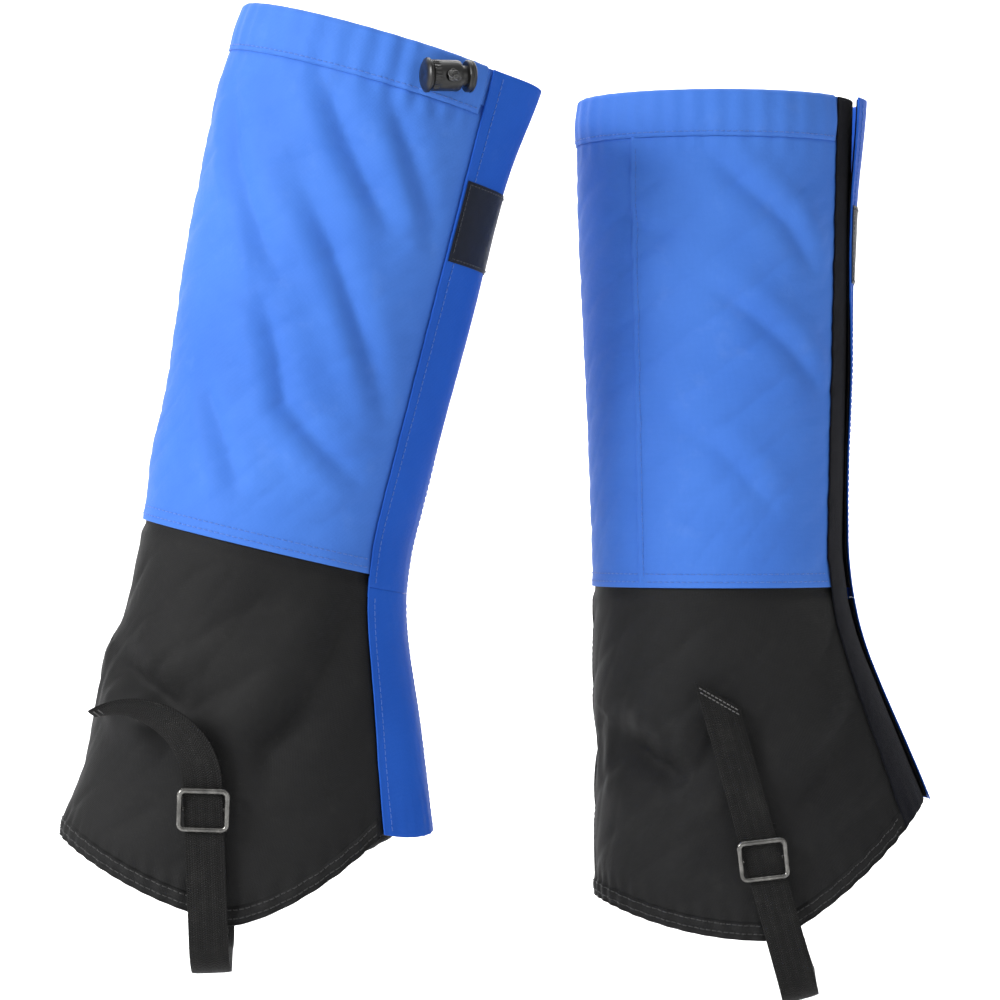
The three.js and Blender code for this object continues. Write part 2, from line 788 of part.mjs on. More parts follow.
// The slider: a wire frame in front of the strap, and a centre bar behind it on two short posts.
function slider() {
  const outline = roundedRectangle(new THREE.Shape(), sliderWidth, sliderHeight, sliderCornerRadius);
  const windowWidth = sliderWidth - 2 * wireDiameter;
  const windowHeight = sliderHeight - 2 * wireDiameter;
  outline.holes.push(roundedRectangle(new THREE.Path(), windowWidth, windowHeight, 1));
  const frame = new THREE.ExtrudeGeometry(outline, {
    depth: wireDiameter, steps: 1, bevelEnabled: false, curveSegments: 4,
  });
  frame.translate(0, 0, frameLift - wireDiameter / 2);
  const postReach = frameLift - centreBarLift;
  const postX = (sliderWidth - wireDiameter) / 2;
  const posts = [-1, 1].map((end) => {
    const post = new THREE.BoxGeometry(wireDiameter - 0.4, centreBarDiameter, postReach + centreBarDiameter);
    return post.translate(end * postX, 0, centreBarLift + postReach / 2);
  });
  const bar = rod(centreBarDiameter / 2, 2 * postX, 'x', 12).translate(0, 0, centreBarLift);
  return unite(frame, ...posts, bar);
}

// The sewn tab: webbing folded round the centre bar, its two layers lying up the panel behind the strap.
function sliderTab() {
  const outline = new THREE.Shape();
  const low = gap;
  const high = gap + 2 * tabThickness;
  const middle = centreBarLift;
  const meet = Math.sqrt(tabRingRadius ** 2 - (middle - high) ** 2);
  outline.moveTo(0, low);
  outline.absarc(0, middle, tabRingRadius, -Math.PI / 2, Math.atan2(high - middle, meet) - 2 * Math.PI, true);
  outline.lineTo(tabLength, high);
  outline.lineTo(tabLength, low);
  const eye = new THREE.Path();
  eye.absarc(0, middle, centreBarDiameter / 2 + gap, 0, 2 * Math.PI, false);
  outline.holes.push(eye);
  const geometry = new THREE.ExtrudeGeometry(outline, {
    depth: tabWidth, steps: 1, bevelEnabled: false, curveSegments: 10,
  });
  return geometry.translate(0, 0, -tabWidth / 2);
}

// A frame on the panel at a slider: y runs up the strap, a little more upright than it, and z is outwards.
function sliderFrame(place, direction) {
  const outward = new THREE.Vector3(0, direction, 0);
  const up = alongStrap.clone().applyAxisAngle(new THREE.Vector3(0, 1, 0), degToRad(sliderMisalign));
  const frame = new THREE.Group();
  frame.applyMatrix4(new THREE.Matrix4().makeBasis(up.clone().cross(outward), up, outward));
  frame.position.set(place.forward, direction * panelFace(place), place.height);
  return frame;
}

// ---------------------------------------------------------------- one gaiter

function gaiter({ name, side, lockSwivel, straightAt, curled, takeUp }) {
  const group = new THREE.Group();
  const add = (piece, geometry, surface, parent = group) => {
    const mesh = new THREE.Mesh(geometry, surface);
    mesh.name = `${name}_${piece}`;
    parent.add(mesh);
    return mesh;
  };
  const outerFrom = flapSeamAngle - underlapAngle;
  const upperOuterTo = upperBackSeamAngle - seamGapAngle / 2;
  const upperInnerFrom = upperBackSeamAngle + seamGapAngle / 2;
  const collarEnds = [collarFromAngle - seamGapAngle, collarToAngle + seamGapAngle];
  add('upper_outer_panel', upperPanel(side, outerFrom, upperOuterTo, ...collarEnds), blueCloth);
  add('upper_inner_panel', upperPanel(side, upperInnerFrom, innerFrontAngle, ...collarEnds), blueCloth);
  add('lower_outer_panel', lowerPanel(side, outerFrom, heelSeamAngle - seamGapAngle / 2), blackCloth);
  add('lower_inner_panel', lowerPanel(side, heelSeamAngle + seamGapAngle / 2, innerFrontAngle), blackCloth);
  add('hem_facing', hemFacing(side), blackCloth);
  add('ankle_elastic', ankleElastic(side), elasticBlack);
  add('loop_tape', loopTape(side), tapeBlack);
  add('collar', collar(side), blueCloth);
  add('drawcord', drawcord(side), cordBlack);
  add('flap_upper', flapUpper(side), blueCloth);
  add('flap_lower', flapLower(side), blueCloth);
  add('hook_tape_upper', hookTapeUpper(side), tapeBlack);
  add('hook_tape_lower', hookTapeLower(side), tapeBlack);
  add('label', label(side), labelBlack);
  add('instep_strap', strap(side, straightAt, curled, takeUp), blackWebbing);

  const eyeletPlace = eyeletFrame(side, 0, 0);
  group.add(eyeletPlace);
  add('eyelet', eyelet(), greyMetal, eyeletPlace);
  const lockPlace = eyeletFrame(side, lockAxisLift, lockSwivel);
  group.add(lockPlace);
  add('lock_barrel', lockBarrel(), blackPlastic, lockPlace);
  add('lock_plunger', lockPlunger(), blackPlastic, lockPlace);
  add('lock_spring', lockSpring(), springSteel, lockPlace);

  const sliders = [['outer', outerSlider, side], ['inner', innerSlider, -side]];
  for (const [where, place, direction] of sliders) {
    const frame = sliderFrame(place, direction);
    group.add(frame);
    add(`${where}_slider`, slider(), greyMetal, frame);
    const tab = sliderTab();
    tab.applyMatrix4(new THREE.Matrix4().makeBasis(
      new THREE.Vector3(0, 1, 0), new THREE.Vector3(0, 0, 1), new THREE.Vector3(1, 0, 0),
    ));
    add(`${where}_slider_tab`, tab, blackWebbing, frame);
  }
  return group;
}

// ---------------------------------------------------------------- the pair

const left = gaiter({
  name: 'left', side: 1, lockSwivel: 0, straightAt: innerSlider, curled: false, takeUp: 0,
});
left.position.set(pairSpacing.left, pairDepth / 2, 0);

const right = gaiter({
  name: 'right', side: -1, lockSwivel: rightLean, straightAt: outerSlider, curled: true, takeUp: rightTakeUp,
});
right.rotation.y = degToRad(rightLean);
right.position.set(pairSpacing.right, -pairDepth / 2, rightRaise);

const pair = new THREE.Group();
pair.add(left, right);

// The origin is at the middle of the pair's base.
const bounds = new THREE.Box3().setFromObject(pair, true);
const base = bounds.getCenter(new THREE.Vector3()).setZ(bounds.min.z);
left.position.sub(base);
right.position.sub(base);

export default pair;
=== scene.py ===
"""A pair of hiking gaiters: cloth, webbing, trim and hardware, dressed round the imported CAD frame.

Each gaiter is drawn in its own frame in millimetres: x forward, y across the leg, z up. A point of its
wall is given by an angle round the leg (0 front, 90 outer side, 180 heel), a height and an offset out of
the wall.
"""
import json
import math

import bmesh
import bpy
import numpy as np
from mathutils import Matrix, Vector


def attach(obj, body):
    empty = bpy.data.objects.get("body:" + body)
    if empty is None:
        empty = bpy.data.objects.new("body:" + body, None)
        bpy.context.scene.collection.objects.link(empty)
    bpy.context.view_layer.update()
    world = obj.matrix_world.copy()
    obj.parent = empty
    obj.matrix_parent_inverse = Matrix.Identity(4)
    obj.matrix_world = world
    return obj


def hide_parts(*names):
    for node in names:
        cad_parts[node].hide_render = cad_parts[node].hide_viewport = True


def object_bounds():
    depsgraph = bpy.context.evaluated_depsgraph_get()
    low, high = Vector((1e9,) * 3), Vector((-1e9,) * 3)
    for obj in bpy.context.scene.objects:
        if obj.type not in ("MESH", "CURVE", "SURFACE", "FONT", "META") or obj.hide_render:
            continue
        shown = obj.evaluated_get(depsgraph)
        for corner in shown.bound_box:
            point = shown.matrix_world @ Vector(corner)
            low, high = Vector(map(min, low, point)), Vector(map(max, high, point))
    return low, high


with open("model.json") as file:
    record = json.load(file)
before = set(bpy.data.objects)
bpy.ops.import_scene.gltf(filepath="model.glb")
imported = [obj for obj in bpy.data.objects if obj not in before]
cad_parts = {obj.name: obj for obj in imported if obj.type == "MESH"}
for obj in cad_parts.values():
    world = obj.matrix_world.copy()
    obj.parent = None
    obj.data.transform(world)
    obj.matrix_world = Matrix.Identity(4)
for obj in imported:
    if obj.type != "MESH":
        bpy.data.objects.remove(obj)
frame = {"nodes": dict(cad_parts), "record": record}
cad_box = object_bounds()


# ---------------------------------------------------------------- sizes shared with the CAD, in mm

# The wall: its heights, and its oval's half length, half width and forward shift at three of them.
RIM_HEIGHT = 464
ANKLE_HEIGHT = 205
RIM = (69, 56, -1.5)
ANKLE = (62.5, 50, -1.5)
HEM = (84, 50, 21)
HEM_LOW = 32
HEM_INSTEP_RISE = 67
HEM_HEEL_RISE = 18
# Thicknesses, and the clearance between pieces.
CLOTH = 1.2
GAP = 0.3
TAPE = 1.0
# Where panels and tapes begin and end: angles round the leg, and one height.
FLAP_SEAM = 40
FLAP_RISE_ANGLE = 30
PANEL_SEAM_HEIGHT = 211
BACK_SEAM = 230
HEEL_SEAM = 180
PANEL_FRONT = 370
TAPE_FROM = 329
TAPE_TO = 368
HOOK_FROM = 8
# The collar, and how far other edges stay inside the rim and the hem.
COLLAR_HEIGHT = 24
COLLAR_BOTTOM = RIM_HEIGHT - COLLAR_HEIGHT
COLLAR_FROM = FLAP_SEAM + 2
COLLAR_TO = TAPE_FROM - 1
EDGE = 1
# The elastic and the label.
ELASTIC_HEIGHT = 128
ELASTIC_WIDTH = 12
ELASTIC_FROM = 110
ELASTIC_TO = 250
LABEL_TOP = 408
LABEL_HEIGHT = 40
LABEL_STITCH_INSET = 1.6
# The flap: how far it stands off the wall, its free edge's angles, and how it laps and flares.
FLAP_OVER_CLOTH = CLOTH + 0.5
FLAP_OVER_TAPE = CLOTH + GAP + TAPE + 0.5 + TAPE + GAP
FLAP_FREE_AT_RIM = -24
FLAP_FREE_AT_ANKLE = -4
FLAP_FREE_AT_HEM = -3
FLAP_LAP = 5
FLAP_FLARE = 5
# The eyelet and the drawcord.
EYELET_ANGLE = 64
EYELET_HEIGHT = RIM_HEIGHT - 11
CORD_RADIUS = 1.5
CORD_OFFSET = -0.45
# The strap, its tails and its bends.
WEBBING_WIDTH = 19
WEBBING_THICKNESS = 1.3
STRAP_FLOOR = -9.3
STRAP_BEND_RADIUS = 15
TAIL_LENGTH = 86
INNER_TAIL_LENGTH = 96
CURL_ANGLE = 110
CURL_TWIST = 78
CURL_SPREAD = 4
CURL_START = 2
STRAP_DRIFT = 6
STRAP_LEAD_IN = 17
# The sliders (forward, up), their bars and tabs, and how far each layer stands off the panel.
OUTER_SLIDER = (0, 83)
INNER_SLIDER = (19, 74)
SLIDER_WIDTH = 25.4
SLIDER_HEIGHT = 21
WIRE = 2.4
BAR_RADIUS = 1.1
BAR_CORNER = 1.3
TAB_WIDTH = 17
TAB_TOP = 17
TAB_RING = BAR_RADIUS + GAP + TAPE
BAR_LIFT = GAP + TAB_RING
STRAP_LIFT = BAR_LIFT + TAB_RING + GAP
FRAME_LIFT = STRAP_LIFT + WEBBING_THICKNESS + GAP + WIRE / 2
PANEL_FACE = HEM[1] + CLOTH
LEG_OUT = PANEL_FACE + STRAP_LIFT + WEBBING_THICKNESS / 2
# The cord lock and the knot on top of it.
EYELET_TOP = CLOTH + GAP + CLOTH + GAP + 0.8
BARREL_RADIUS = 7.5
BORE_RADIUS = 5.3
KNOT_RECESS = 1.6
KNOT_RADIUS = 2.7
LOCK_LIFT = EYELET_TOP + GAP + BARREL_RADIUS
KNOT_LIFT = LOCK_LIFT + BARREL_RADIUS - KNOT_RECESS + GAP + KNOT_RADIUS


# ---------------------------------------------------------------- where the two gaiters stand

joints = {joint["name"]: joint for joint in frame["record"]["behaviour"]["joints"]}


def strap_slant(side_name):
    x, _, z = joints[f"{side_name}_strap_slide"]["axis"]
    return math.atan2(-x, z)


SLANT = strap_slant("left")
ACROSS = np.array([math.cos(SLANT), 0, math.sin(SLANT)])
ALONG = np.array([-math.sin(SLANT), 0, math.cos(SLANT)])
OUT = np.array([0.0, 1.0, 0.0])


def smooth(edge0, edge1, x):
    t = np.clip((np.asarray(x, float) - edge0) / (edge1 - edge0), 0, 1)
    return t * t * (3 - 2 * t)


class Gaiter:
    """One gaiter: its name, which way its outer side faces, its lean, its takeup and how its cloth lies."""

    def __init__(self, name, side, curled, take_up, seed, bulges, creases, rim_rise, front_sag, slider_turn):
        self.name = name
        self.side = side
        self.curled = curled
        self.take_up = take_up
        self.seed = seed
        self.bulges = bulges
        self.creases = creases
        self.rim_rise = rim_rise
        self.front_sag = front_sag
        self.slider_turn = math.radians(slider_turn)
        self.lean = SLANT - strap_slant(name)
        hinge = Vector(joints[f"{name}_flap_upper_hinge"]["pos_m"]) * 1000
        turn = math.radians(FLAP_SEAM)
        lift = FLAP_OVER_CLOTH + CLOTH / 2
        local = Vector((
            ANKLE[2] + (ANKLE[0] + lift) * math.cos(turn),
            side * (ANKLE[1] + lift) * math.sin(turn),
            ANKLE_HEIGHT,
        ))
        turned = Matrix.Rotation(self.lean, 4, "Y")
        self.to_row = Matrix.Scale(0.001, 4) @ Matrix.Translation(hinge - turned @ local) @ turned

    def named(self, what):
        return f"{self.name}_{what}"


# ---------------------------------------------------------------- the wall of a gaiter

def hem_height(angle):
    turn = np.radians(angle)
    forward = np.cos(turn)
    flap_edge = np.where(np.sin(turn) > 0, math.cos(math.radians(FLAP_SEAM)), 1.0)
    front = HEM_LOW + HEM_INSTEP_RISE * np.minimum(np.maximum(forward, 0) / flap_edge, 1) ** 1.4
    return np.where(forward > 0, front, HEM_LOW + HEM_HEEL_RISE * forward ** 2)


ANKLE_ROUNDING = 34


def wall_oval(angle, height):
    """Half length, half width and forward shift: two straight runs with a rounded bend at the ankle."""
    up = (height - ANKLE_HEIGHT) / (RIM_HEIGHT - ANKLE_HEIGHT)
    reach = ANKLE_HEIGHT - hem_height(angle)
    down = (ANKLE_HEIGHT - height) / reach
    near = np.maximum(ANKLE_ROUNDING - np.abs(height - ANKLE_HEIGHT), 0) ** 2 / (4 * ANKLE_ROUNDING)
    values = []
    for at_rim, at_ankle, at_hem in zip(RIM, ANKLE, HEM):
        above = at_ankle + (at_rim - at_ankle) * up
        below = at_ankle + (at_hem - at_ankle) * down
        slope_change = (at_rim - at_ankle) / (RIM_HEIGHT - ANKLE_HEIGHT) + (at_hem - at_ankle) / reach
        values.append(np.where(height >= ANKLE_HEIGHT, above, below) + slope_change * near)
    return values


def front_share(angle):
    """1 at the flap's seam, fading round the outer side and, less, towards the flap's free edge."""
    return smooth(105, 48, angle) * (0.6 + 0.4 * smooth(-2, 36, angle)) * smooth(340, 200, angle)


def wall(gaiter, angle, height, offset, relief=True):
    """Points of the wall in the gaiter's frame, one row of x, y, z each."""
    angle, height, offset = np.broadcast_arrays(*(np.asarray(v, float) for v in (angle, height, offset)))
    half_length, half_width, forward = wall_oval(angle, height)
    out = offset + (cloth_relief(gaiter, angle, height) if relief else 0)
    turn = np.radians(angle)
    rise = gaiter.rim_rise * smooth(330, RIM_HEIGHT, height) * (1 - np.cos(turn)) / 2
    rise = rise - gaiter.front_sag * front_share(angle) * smooth(190, 95, height)
    x = forward + (half_length + out) * np.cos(turn)
    y = gaiter.side * (half_width + out) * np.sin(turn)
    return np.stack([x, y, height + rise], axis=-1)


# ---------------------------------------------------------------- how the cloth lies

ARC = 1.1  # mm of wall for a degree of angle


def ridges(x, y, angle_deg, wavelength, phase):
    """Long soft folds with sharp valleys, from -1 to about 0.4, running along one direction."""
    turn = math.radians(angle_deg)
    across = x * math.cos(turn) + y * math.sin(turn)
    along = -x * math.sin(turn) + y * math.cos(turn)
    slow = 0.9 * np.sin(along / (2.3 * wavelength) + phase)
    quick = 0.5 * np.sin(along / (0.9 * wavelength) + 2 * phase)
    wave = np.sin(2 * math.pi * across / wavelength + (slow + quick) + phase)
    return 0.4 - 1.4 * (1 - np.abs(wave)) ** 2.2


def crease_relief(x, y, crease):
    """A valley along a line of points, with a soft swell on its upper side."""
    points, depth, width = crease
    line = np.array([(angle * ARC, height) for angle, height in points], float)
    lengths = np.linalg.norm(np.diff(line, axis=0), axis=1)
    total = lengths.sum()
    best = np.full(x.shape, 1e9)
    signed = np.zeros(x.shape)
    share = np.zeros(x.shape)
    walked = 0
    for start, end, length in zip(line[:-1], line[1:], lengths):
        unit = (end - start) / length
        along = (x - start[0]) * unit[0] + (y - start[1]) * unit[1]
        across = (x - start[0]) * -unit[1] + (y - start[1]) * unit[0]
        past = along - np.clip(along, 0, length)
        distance = np.hypot(past, across)
        nearer = distance < best
        best = np.where(nearer, distance, best)
        signed = np.where(nearer, np.sign(across) * distance, signed)
        share = np.where(nearer, (walked + np.clip(along, 0, length)) / total, share)
        walked += length
    ends = smooth(0, 0.25, share) * smooth(1, 0.7, share)
    valley = -np.exp(-np.abs(signed / width) ** 1.5)
    swell = 0.75 * np.exp(-((signed - 2.1 * width) / (1.5 * width)) ** 2)
    lower_swell = 0.3 * np.exp(-((signed + 2.4 * width) / (1.6 * width)) ** 2)
    profile = np.where(best < 8 * width, valley + swell + lower_swell, 0)
    return depth * (0.25 + 0.75 * ends) * profile * smooth(1.0, 0.93, share)


def quiet_near_sliders(angle, height):
    """0 at the two sliders, 1 away from them: the cloth lies flat behind a slider and its tab."""
    keep = np.ones(np.broadcast(angle, height).shape)
    half_length, _, forward = wall_oval(angle, height)
    x = forward + half_length * np.cos(np.radians(angle))
    for low, high, (at_x, at_z) in ((0, 180, OUTER_SLIDER), (180, 360, INNER_SLIDER)):
        distance = np.hypot(x - at_x, (height - at_z - 8) * 0.8)
        near = (angle > low) & (angle < high)
        keep = np.where(near, np.minimum(keep, smooth(15, 34, distance)), keep)
    return keep


def heel_swells(gaiter, angle, height):
    """The heel side bellies out by the gaiter's own amounts, smoothed over a few heights."""
    heel = np.maximum(-np.cos(np.radians(angle)), 0) ** 1.6
    heights, amounts = zip(*gaiter.bulges)
    return heel * sum(
        np.interp(height + shift, heights, amounts) * weight
        for shift, weight in ((-9, 0.25), (0, 0.5), (9, 0.25))
    )


def upper_wrinkles(gaiter, x, height):
    """Faint slanting wrinkles over the blue cloth, in patches."""
    seed, tilt = gaiter.seed, -gaiter.side
    reach = smooth(PANEL_SEAM_HEIGHT - 4, PANEL_SEAM_HEIGHT + 24, height)
    reach = reach * smooth(COLLAR_BOTTOM, COLLAR_BOTTOM - 20, height)
    patches = 0.5 + 0.5 * np.sin(x / 41 + seed) * np.sin(height / 57 + 1.7 * seed)
    return reach * (
        0.75 * patches * ridges(x, height, 58 * tilt, 47, seed)
        + 0.42 * (1 - patches) * ridges(x, height, 40 * tilt, 29, seed + 1.3)
        + 0.25 * ridges(x, height, 75 * tilt, 21, seed + 2.1)
    )


def lower_folds(gaiter, x, height, above_hem):
    """Soft slanting folds over the black cloth."""
    seed, tilt = gaiter.seed, -gaiter.side
    return smooth(4, 20, above_hem) * (
        0.6 * ridges(x, height, 48 * tilt, 52, seed + 0.7)
        + 0.2 * ridges(x, height, 30 * tilt, 33, seed + 1.9)
    )


def hem_puckers(gaiter, x, above_hem):
    """Small puckers where the hem is stitched."""
    return smooth(22, 6, above_hem) * 0.45 * np.sin(
        2 * math.pi * x / 7.5 + 1.4 * np.sin(x / 17 + gaiter.seed)
    )


def elastic_gathers(gaiter, angle, x, height):
    """The elastic behind the heel draws the cloth in, in uneven gathers."""
    pull = np.exp(-((height - ELASTIC_HEIGHT) / 15) ** 2)
    pull = pull * smooth(ELASTIC_FROM - 2, ELASTIC_FROM + 12, angle)
    pull = pull * smooth(ELASTIC_TO + 2, ELASTIC_TO - 14, angle)
    uneven = 1.9 * np.sin(x / 19 + height / 14)
    return pull * (-2.0 + 0.55 * np.sin(2 * math.pi * x / 15 + uneven + gaiter.seed))


def collar_puckers(gaiter, angle, x, height):
    """The drawcord gathers the collar, most of all near its lock."""
    reach = smooth(COLLAR_BOTTOM - 13, COLLAR_BOTTOM - 1, height)
    reach = reach * smooth(RIM_HEIGHT + 12, RIM_HEIGHT - 2, height)
    tight = 0.35 + 0.65 * np.exp(-((angle - 70) / 26) ** 2)
    return reach * tight * 0.75 * np.sin(2 * math.pi * x / 10.5 + 1.6 * np.sin(x / 23 + gaiter.seed))


def cloth_relief(gaiter, angle, height):
    """How far the cloth stands out of the smooth wall: swells, creases and fine wrinkles."""
    x = angle * ARC
    above_hem = height - hem_height(angle)
    lower = smooth(PANEL_SEAM_HEIGHT - 2, PANEL_SEAM_HEIGHT - 22, height)
    creases = sum(crease_relief(x, height, crease) for crease in gaiter.creases)
    fine = creases + upper_wrinkles(gaiter, x, height) + lower * lower_folds(gaiter, x, height, above_hem)
    drawn = lower * hem_puckers(gaiter, x, above_hem) + elastic_gathers(gaiter, angle, x, height)

    front = smooth(34, 52, angle) * smooth(PANEL_FRONT - 28, PANEL_FRONT - 48, angle)
    lock = smooth(9, 20, np.hypot((angle - EYELET_ANGLE) * ARC, height - EYELET_HEIGHT))
    flat = quiet_near_sliders(angle, height)
    fine = fine * (0.12 + 0.88 * front) * flat
    puckers = collar_puckers(gaiter, angle, x, height) * front
    return heel_swells(gaiter, angle, height) + lock * (fine + puckers) + flat * drawn * (0.3 + 0.7 * front)


# ---------------------------------------------------------------- meshes

def new_object(name, vertices, faces, material=None, smooth_shading=True):
    mesh = bpy.data.meshes.new(name)
    mesh.from_pydata([tuple(v) for v in vertices], [], [tuple(int(i) for i in f) for f in faces])
    mesh.validate()
    mesh.update()
    if smooth_shading:
        mesh.polygons.foreach_set("use_smooth", [True] * len(mesh.polygons))
    thing = bpy.data.objects.new(name, mesh)
    bpy.context.scene.collection.objects.link(thing)
    if material:
        mesh.materials.append(material)
    return thing


def to_row(gaiter, points):
    matrix = np.array(gaiter.to_row)
    points = np.asarray(points, float)
    return points @ matrix[:3, :3].T + matrix[:3, 3]


def grid_faces(rows, columns, closed=False):
    faces = []
    for r in range(rows - 1):
        for c in range(columns if closed else columns - 1):
            d = (c + 1) % columns
            faces.append((r * columns + c, r * columns + d, (r + 1) * columns + d, (r + 1) * columns + c))
    return faces


def add_uv(thing, uv):
    """UV in metres of cloth, so that weave and wear keep their real size."""
    layer = thing.data.uv_layers.new(name="cloth")
    index = np.zeros(len(thing.data.loops), int)
    thing.data.loops.foreach_get("vertex_index", index)
    layer.data.foreach_set("uv", np.asarray(uv, float)[index].ravel())


def finish_piece(gaiter, thing, body, node=None):
    """Hands a piece to a body, and lets it stand for a node where one is named."""
    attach(thing, gaiter.named(body))
    if node:
        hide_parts(gaiter.named(node))
    return thing


def cloth_piece(gaiter, name, rows, material, thickness=CLOTH, rounding=0.35):
    """A sheet from a grid of points in the gaiter's frame, outer face first, thickened inwards."""
    rows = np.asarray(rows, float)
    count, columns, _ = rows.shape
    points = to_row(gaiter, rows.reshape(-1, 3))
    faces = grid_faces(count, columns)
    middle = rows[count // 2, columns // 2]
    across = rows[count // 2, columns // 2 + 1] - middle
    up = rows[count // 2 + 1, columns // 2] - middle
    centre = np.array([ANKLE[2], 0, middle[2]])
    if np.dot(np.cross(across, up), middle - centre) < 0:
        faces = [face[::-1] for face in faces]
    thing = new_object(gaiter.named(name), points, faces, material)
    steps_u = np.linalg.norm(np.diff(rows, axis=1), axis=2)
    steps_v = np.linalg.norm(np.diff(rows, axis=0), axis=2)
    u = np.concatenate([np.zeros((count, 1)), np.cumsum(steps_u, axis=1)], axis=1)
    v = np.concatenate([np.zeros((1, columns)), np.cumsum(steps_v, axis=0)], axis=0)
    u = u - u.mean(axis=1, keepdims=True)
    add_uv(thing, np.stack([u, v], axis=-1).reshape(-1, 2) * 0.001)
    solid = thing.modifiers.new("thickness", "SOLIDIFY")
    solid.thickness = thickness * 0.001
    solid.offset = -1
    solid.use_even_offset = True
    solid.thickness_clamp = 1.5
    if rounding:
        bevel = thing.modifiers.new("edge", "BEVEL")
        bevel.width = rounding * 0.001
        bevel.segments = 2
        bevel.limit_method = "ANGLE"
        bevel.angle_limit = math.radians(50)
    thing["flat_size"] = [float(u.max() - u.min()) * 0.001, float(v.max()) * 0.001]
    return thing


def tube(gaiter, name, path, radius, material, sides=12, closed=False):
    """A round tube along a path in the gaiter's frame, with UV round it and along it."""
    path = np.asarray(path, float)
    count = len(path)
    radius = np.broadcast_to(np.asarray(radius, float), (count,))
    if closed:
        tangent = np.roll(path, -1, axis=0) - np.roll(path, 1, axis=0)
    else:
        tangent = np.gradient(path, axis=0)
    tangent /= np.linalg.norm(tangent, axis=1, keepdims=True)
    normal = np.zeros_like(path)
    first = np.cross(tangent[0], [0.3, 0.5, 0.8])
    normal[0] = first / np.linalg.norm(first)
    for i in range(1, count):
        carried = normal[i - 1] - tangent[i] * np.dot(normal[i - 1], tangent[i])
        normal[i] = carried / np.linalg.norm(carried)
    binormal = np.cross(tangent, normal)
    turns = 2 * math.pi * np.arange(sides) / sides
    sideways = np.cos(turns)[None, :, None] * normal[:, None, :]
    upwards = np.sin(turns)[None, :, None] * binormal[:, None, :]
    rings = path[:, None, :] + radius[:, None, None] * (sideways + upwards)
    vertices = rings.reshape(-1, 3)
    faces = grid_faces(count, sides, closed=True)
    if closed:
        last = (count - 1) * sides
        shift = int(round(sides * math.atan2(
            np.dot(normal[-1], binormal[0]), np.dot(normal[-1], normal[0])) / (2 * math.pi)))
        for c in range(sides):
            d = (c + 1) % sides
            faces.append((last + c, last + d, (d + shift) % sides, (c + shift) % sides))
    else:
        faces.append(tuple(range(sides))[::-1])
        faces.append(tuple(range((count - 1) * sides, count * sides)))
    thing = new_object(gaiter.named(name), to_row(gaiter, vertices), faces, material)
    along = np.concatenate([[0], np.cumsum(np.linalg.norm(np.diff(path, axis=0), axis=1))])
    round_it = np.arange(sides) / sides
    uv = np.stack(np.broadcast_arrays(round_it[None, :], along[:, None] * 0.001), axis=-1)
    add_uv(thing, uv.reshape(-1, 2))
    return thing


def lathe(gaiter, name, profile, place, material, sides=64, ribs=0, rib_depth=0.0):
    """A turned part: profile points are (along, radius) on the local x of a 4 by 4 place, in mm."""
    profile = np.asarray(profile, float)
    turns = 2 * math.pi * np.arange(sides) / sides
    radius = profile[:, 1:2] * np.ones((1, sides))
    if ribs:
        ribbed = np.abs(np.sin(ribs * turns / 2))[None, :] * rib_depth
        radius = radius - ribbed * (profile[:, 2:3] if profile.shape[1] > 2 else 0)
    rings = np.stack([
        profile[:, 0:1] * np.ones((1, sides)),
        radius * np.cos(turns),
        radius * np.sin(turns),
    ], axis=-1).reshape(-1, 3)
    faces = grid_faces(len(profile), sides, closed=True)
    faces.append(tuple(range(sides))[::-1])
    faces.append(tuple(range((len(profile) - 1) * sides, len(profile) * sides)))
    placed = rings @ place[:3, :3].T + place[:3, 3]
    thing = new_object(gaiter.named(name), to_row(gaiter, placed), faces, material)
    if np.linalg.det(place[:3, :3]) < 0:
        thing.data.flip_normals()
    along = np.concatenate([[0], np.cumsum(np.hypot(*np.diff(profile[:, :2], axis=0).T))])
    uv = np.stack(np.broadcast_arrays((turns / (2 * math.pi))[None, :], along[:, None] * 0.001), axis=-1)
    add_uv(thing, uv.reshape(-1, 2))
    shade_by_angle(thing, 35)
    return thing


def shade_by_angle(thing, degrees):
    """Edges sharper than this stay crisp."""
    mesh = thing.data
    limit = math.radians(degrees)
    normals = [polygon.normal.copy() for polygon in mesh.polygons]
    beside = {}
    for polygon in mesh.polygons:
        for key in polygon.edge_keys:
            beside.setdefault(key, []).append(polygon.index)
    sharp = mesh.attributes.new("sharp_edge", "BOOLEAN", "EDGE")
    flags = []
    for edge in mesh.edges:
        pair = beside.get(tuple(sorted(edge.vertices)), [])
        flags.append(len(pair) == 2 and normals[pair[0]].angle(normals[pair[1]], 0) > limit)
    sharp.data.foreach_set("value", flags)


# ---------------------------------------------------------------- stitches

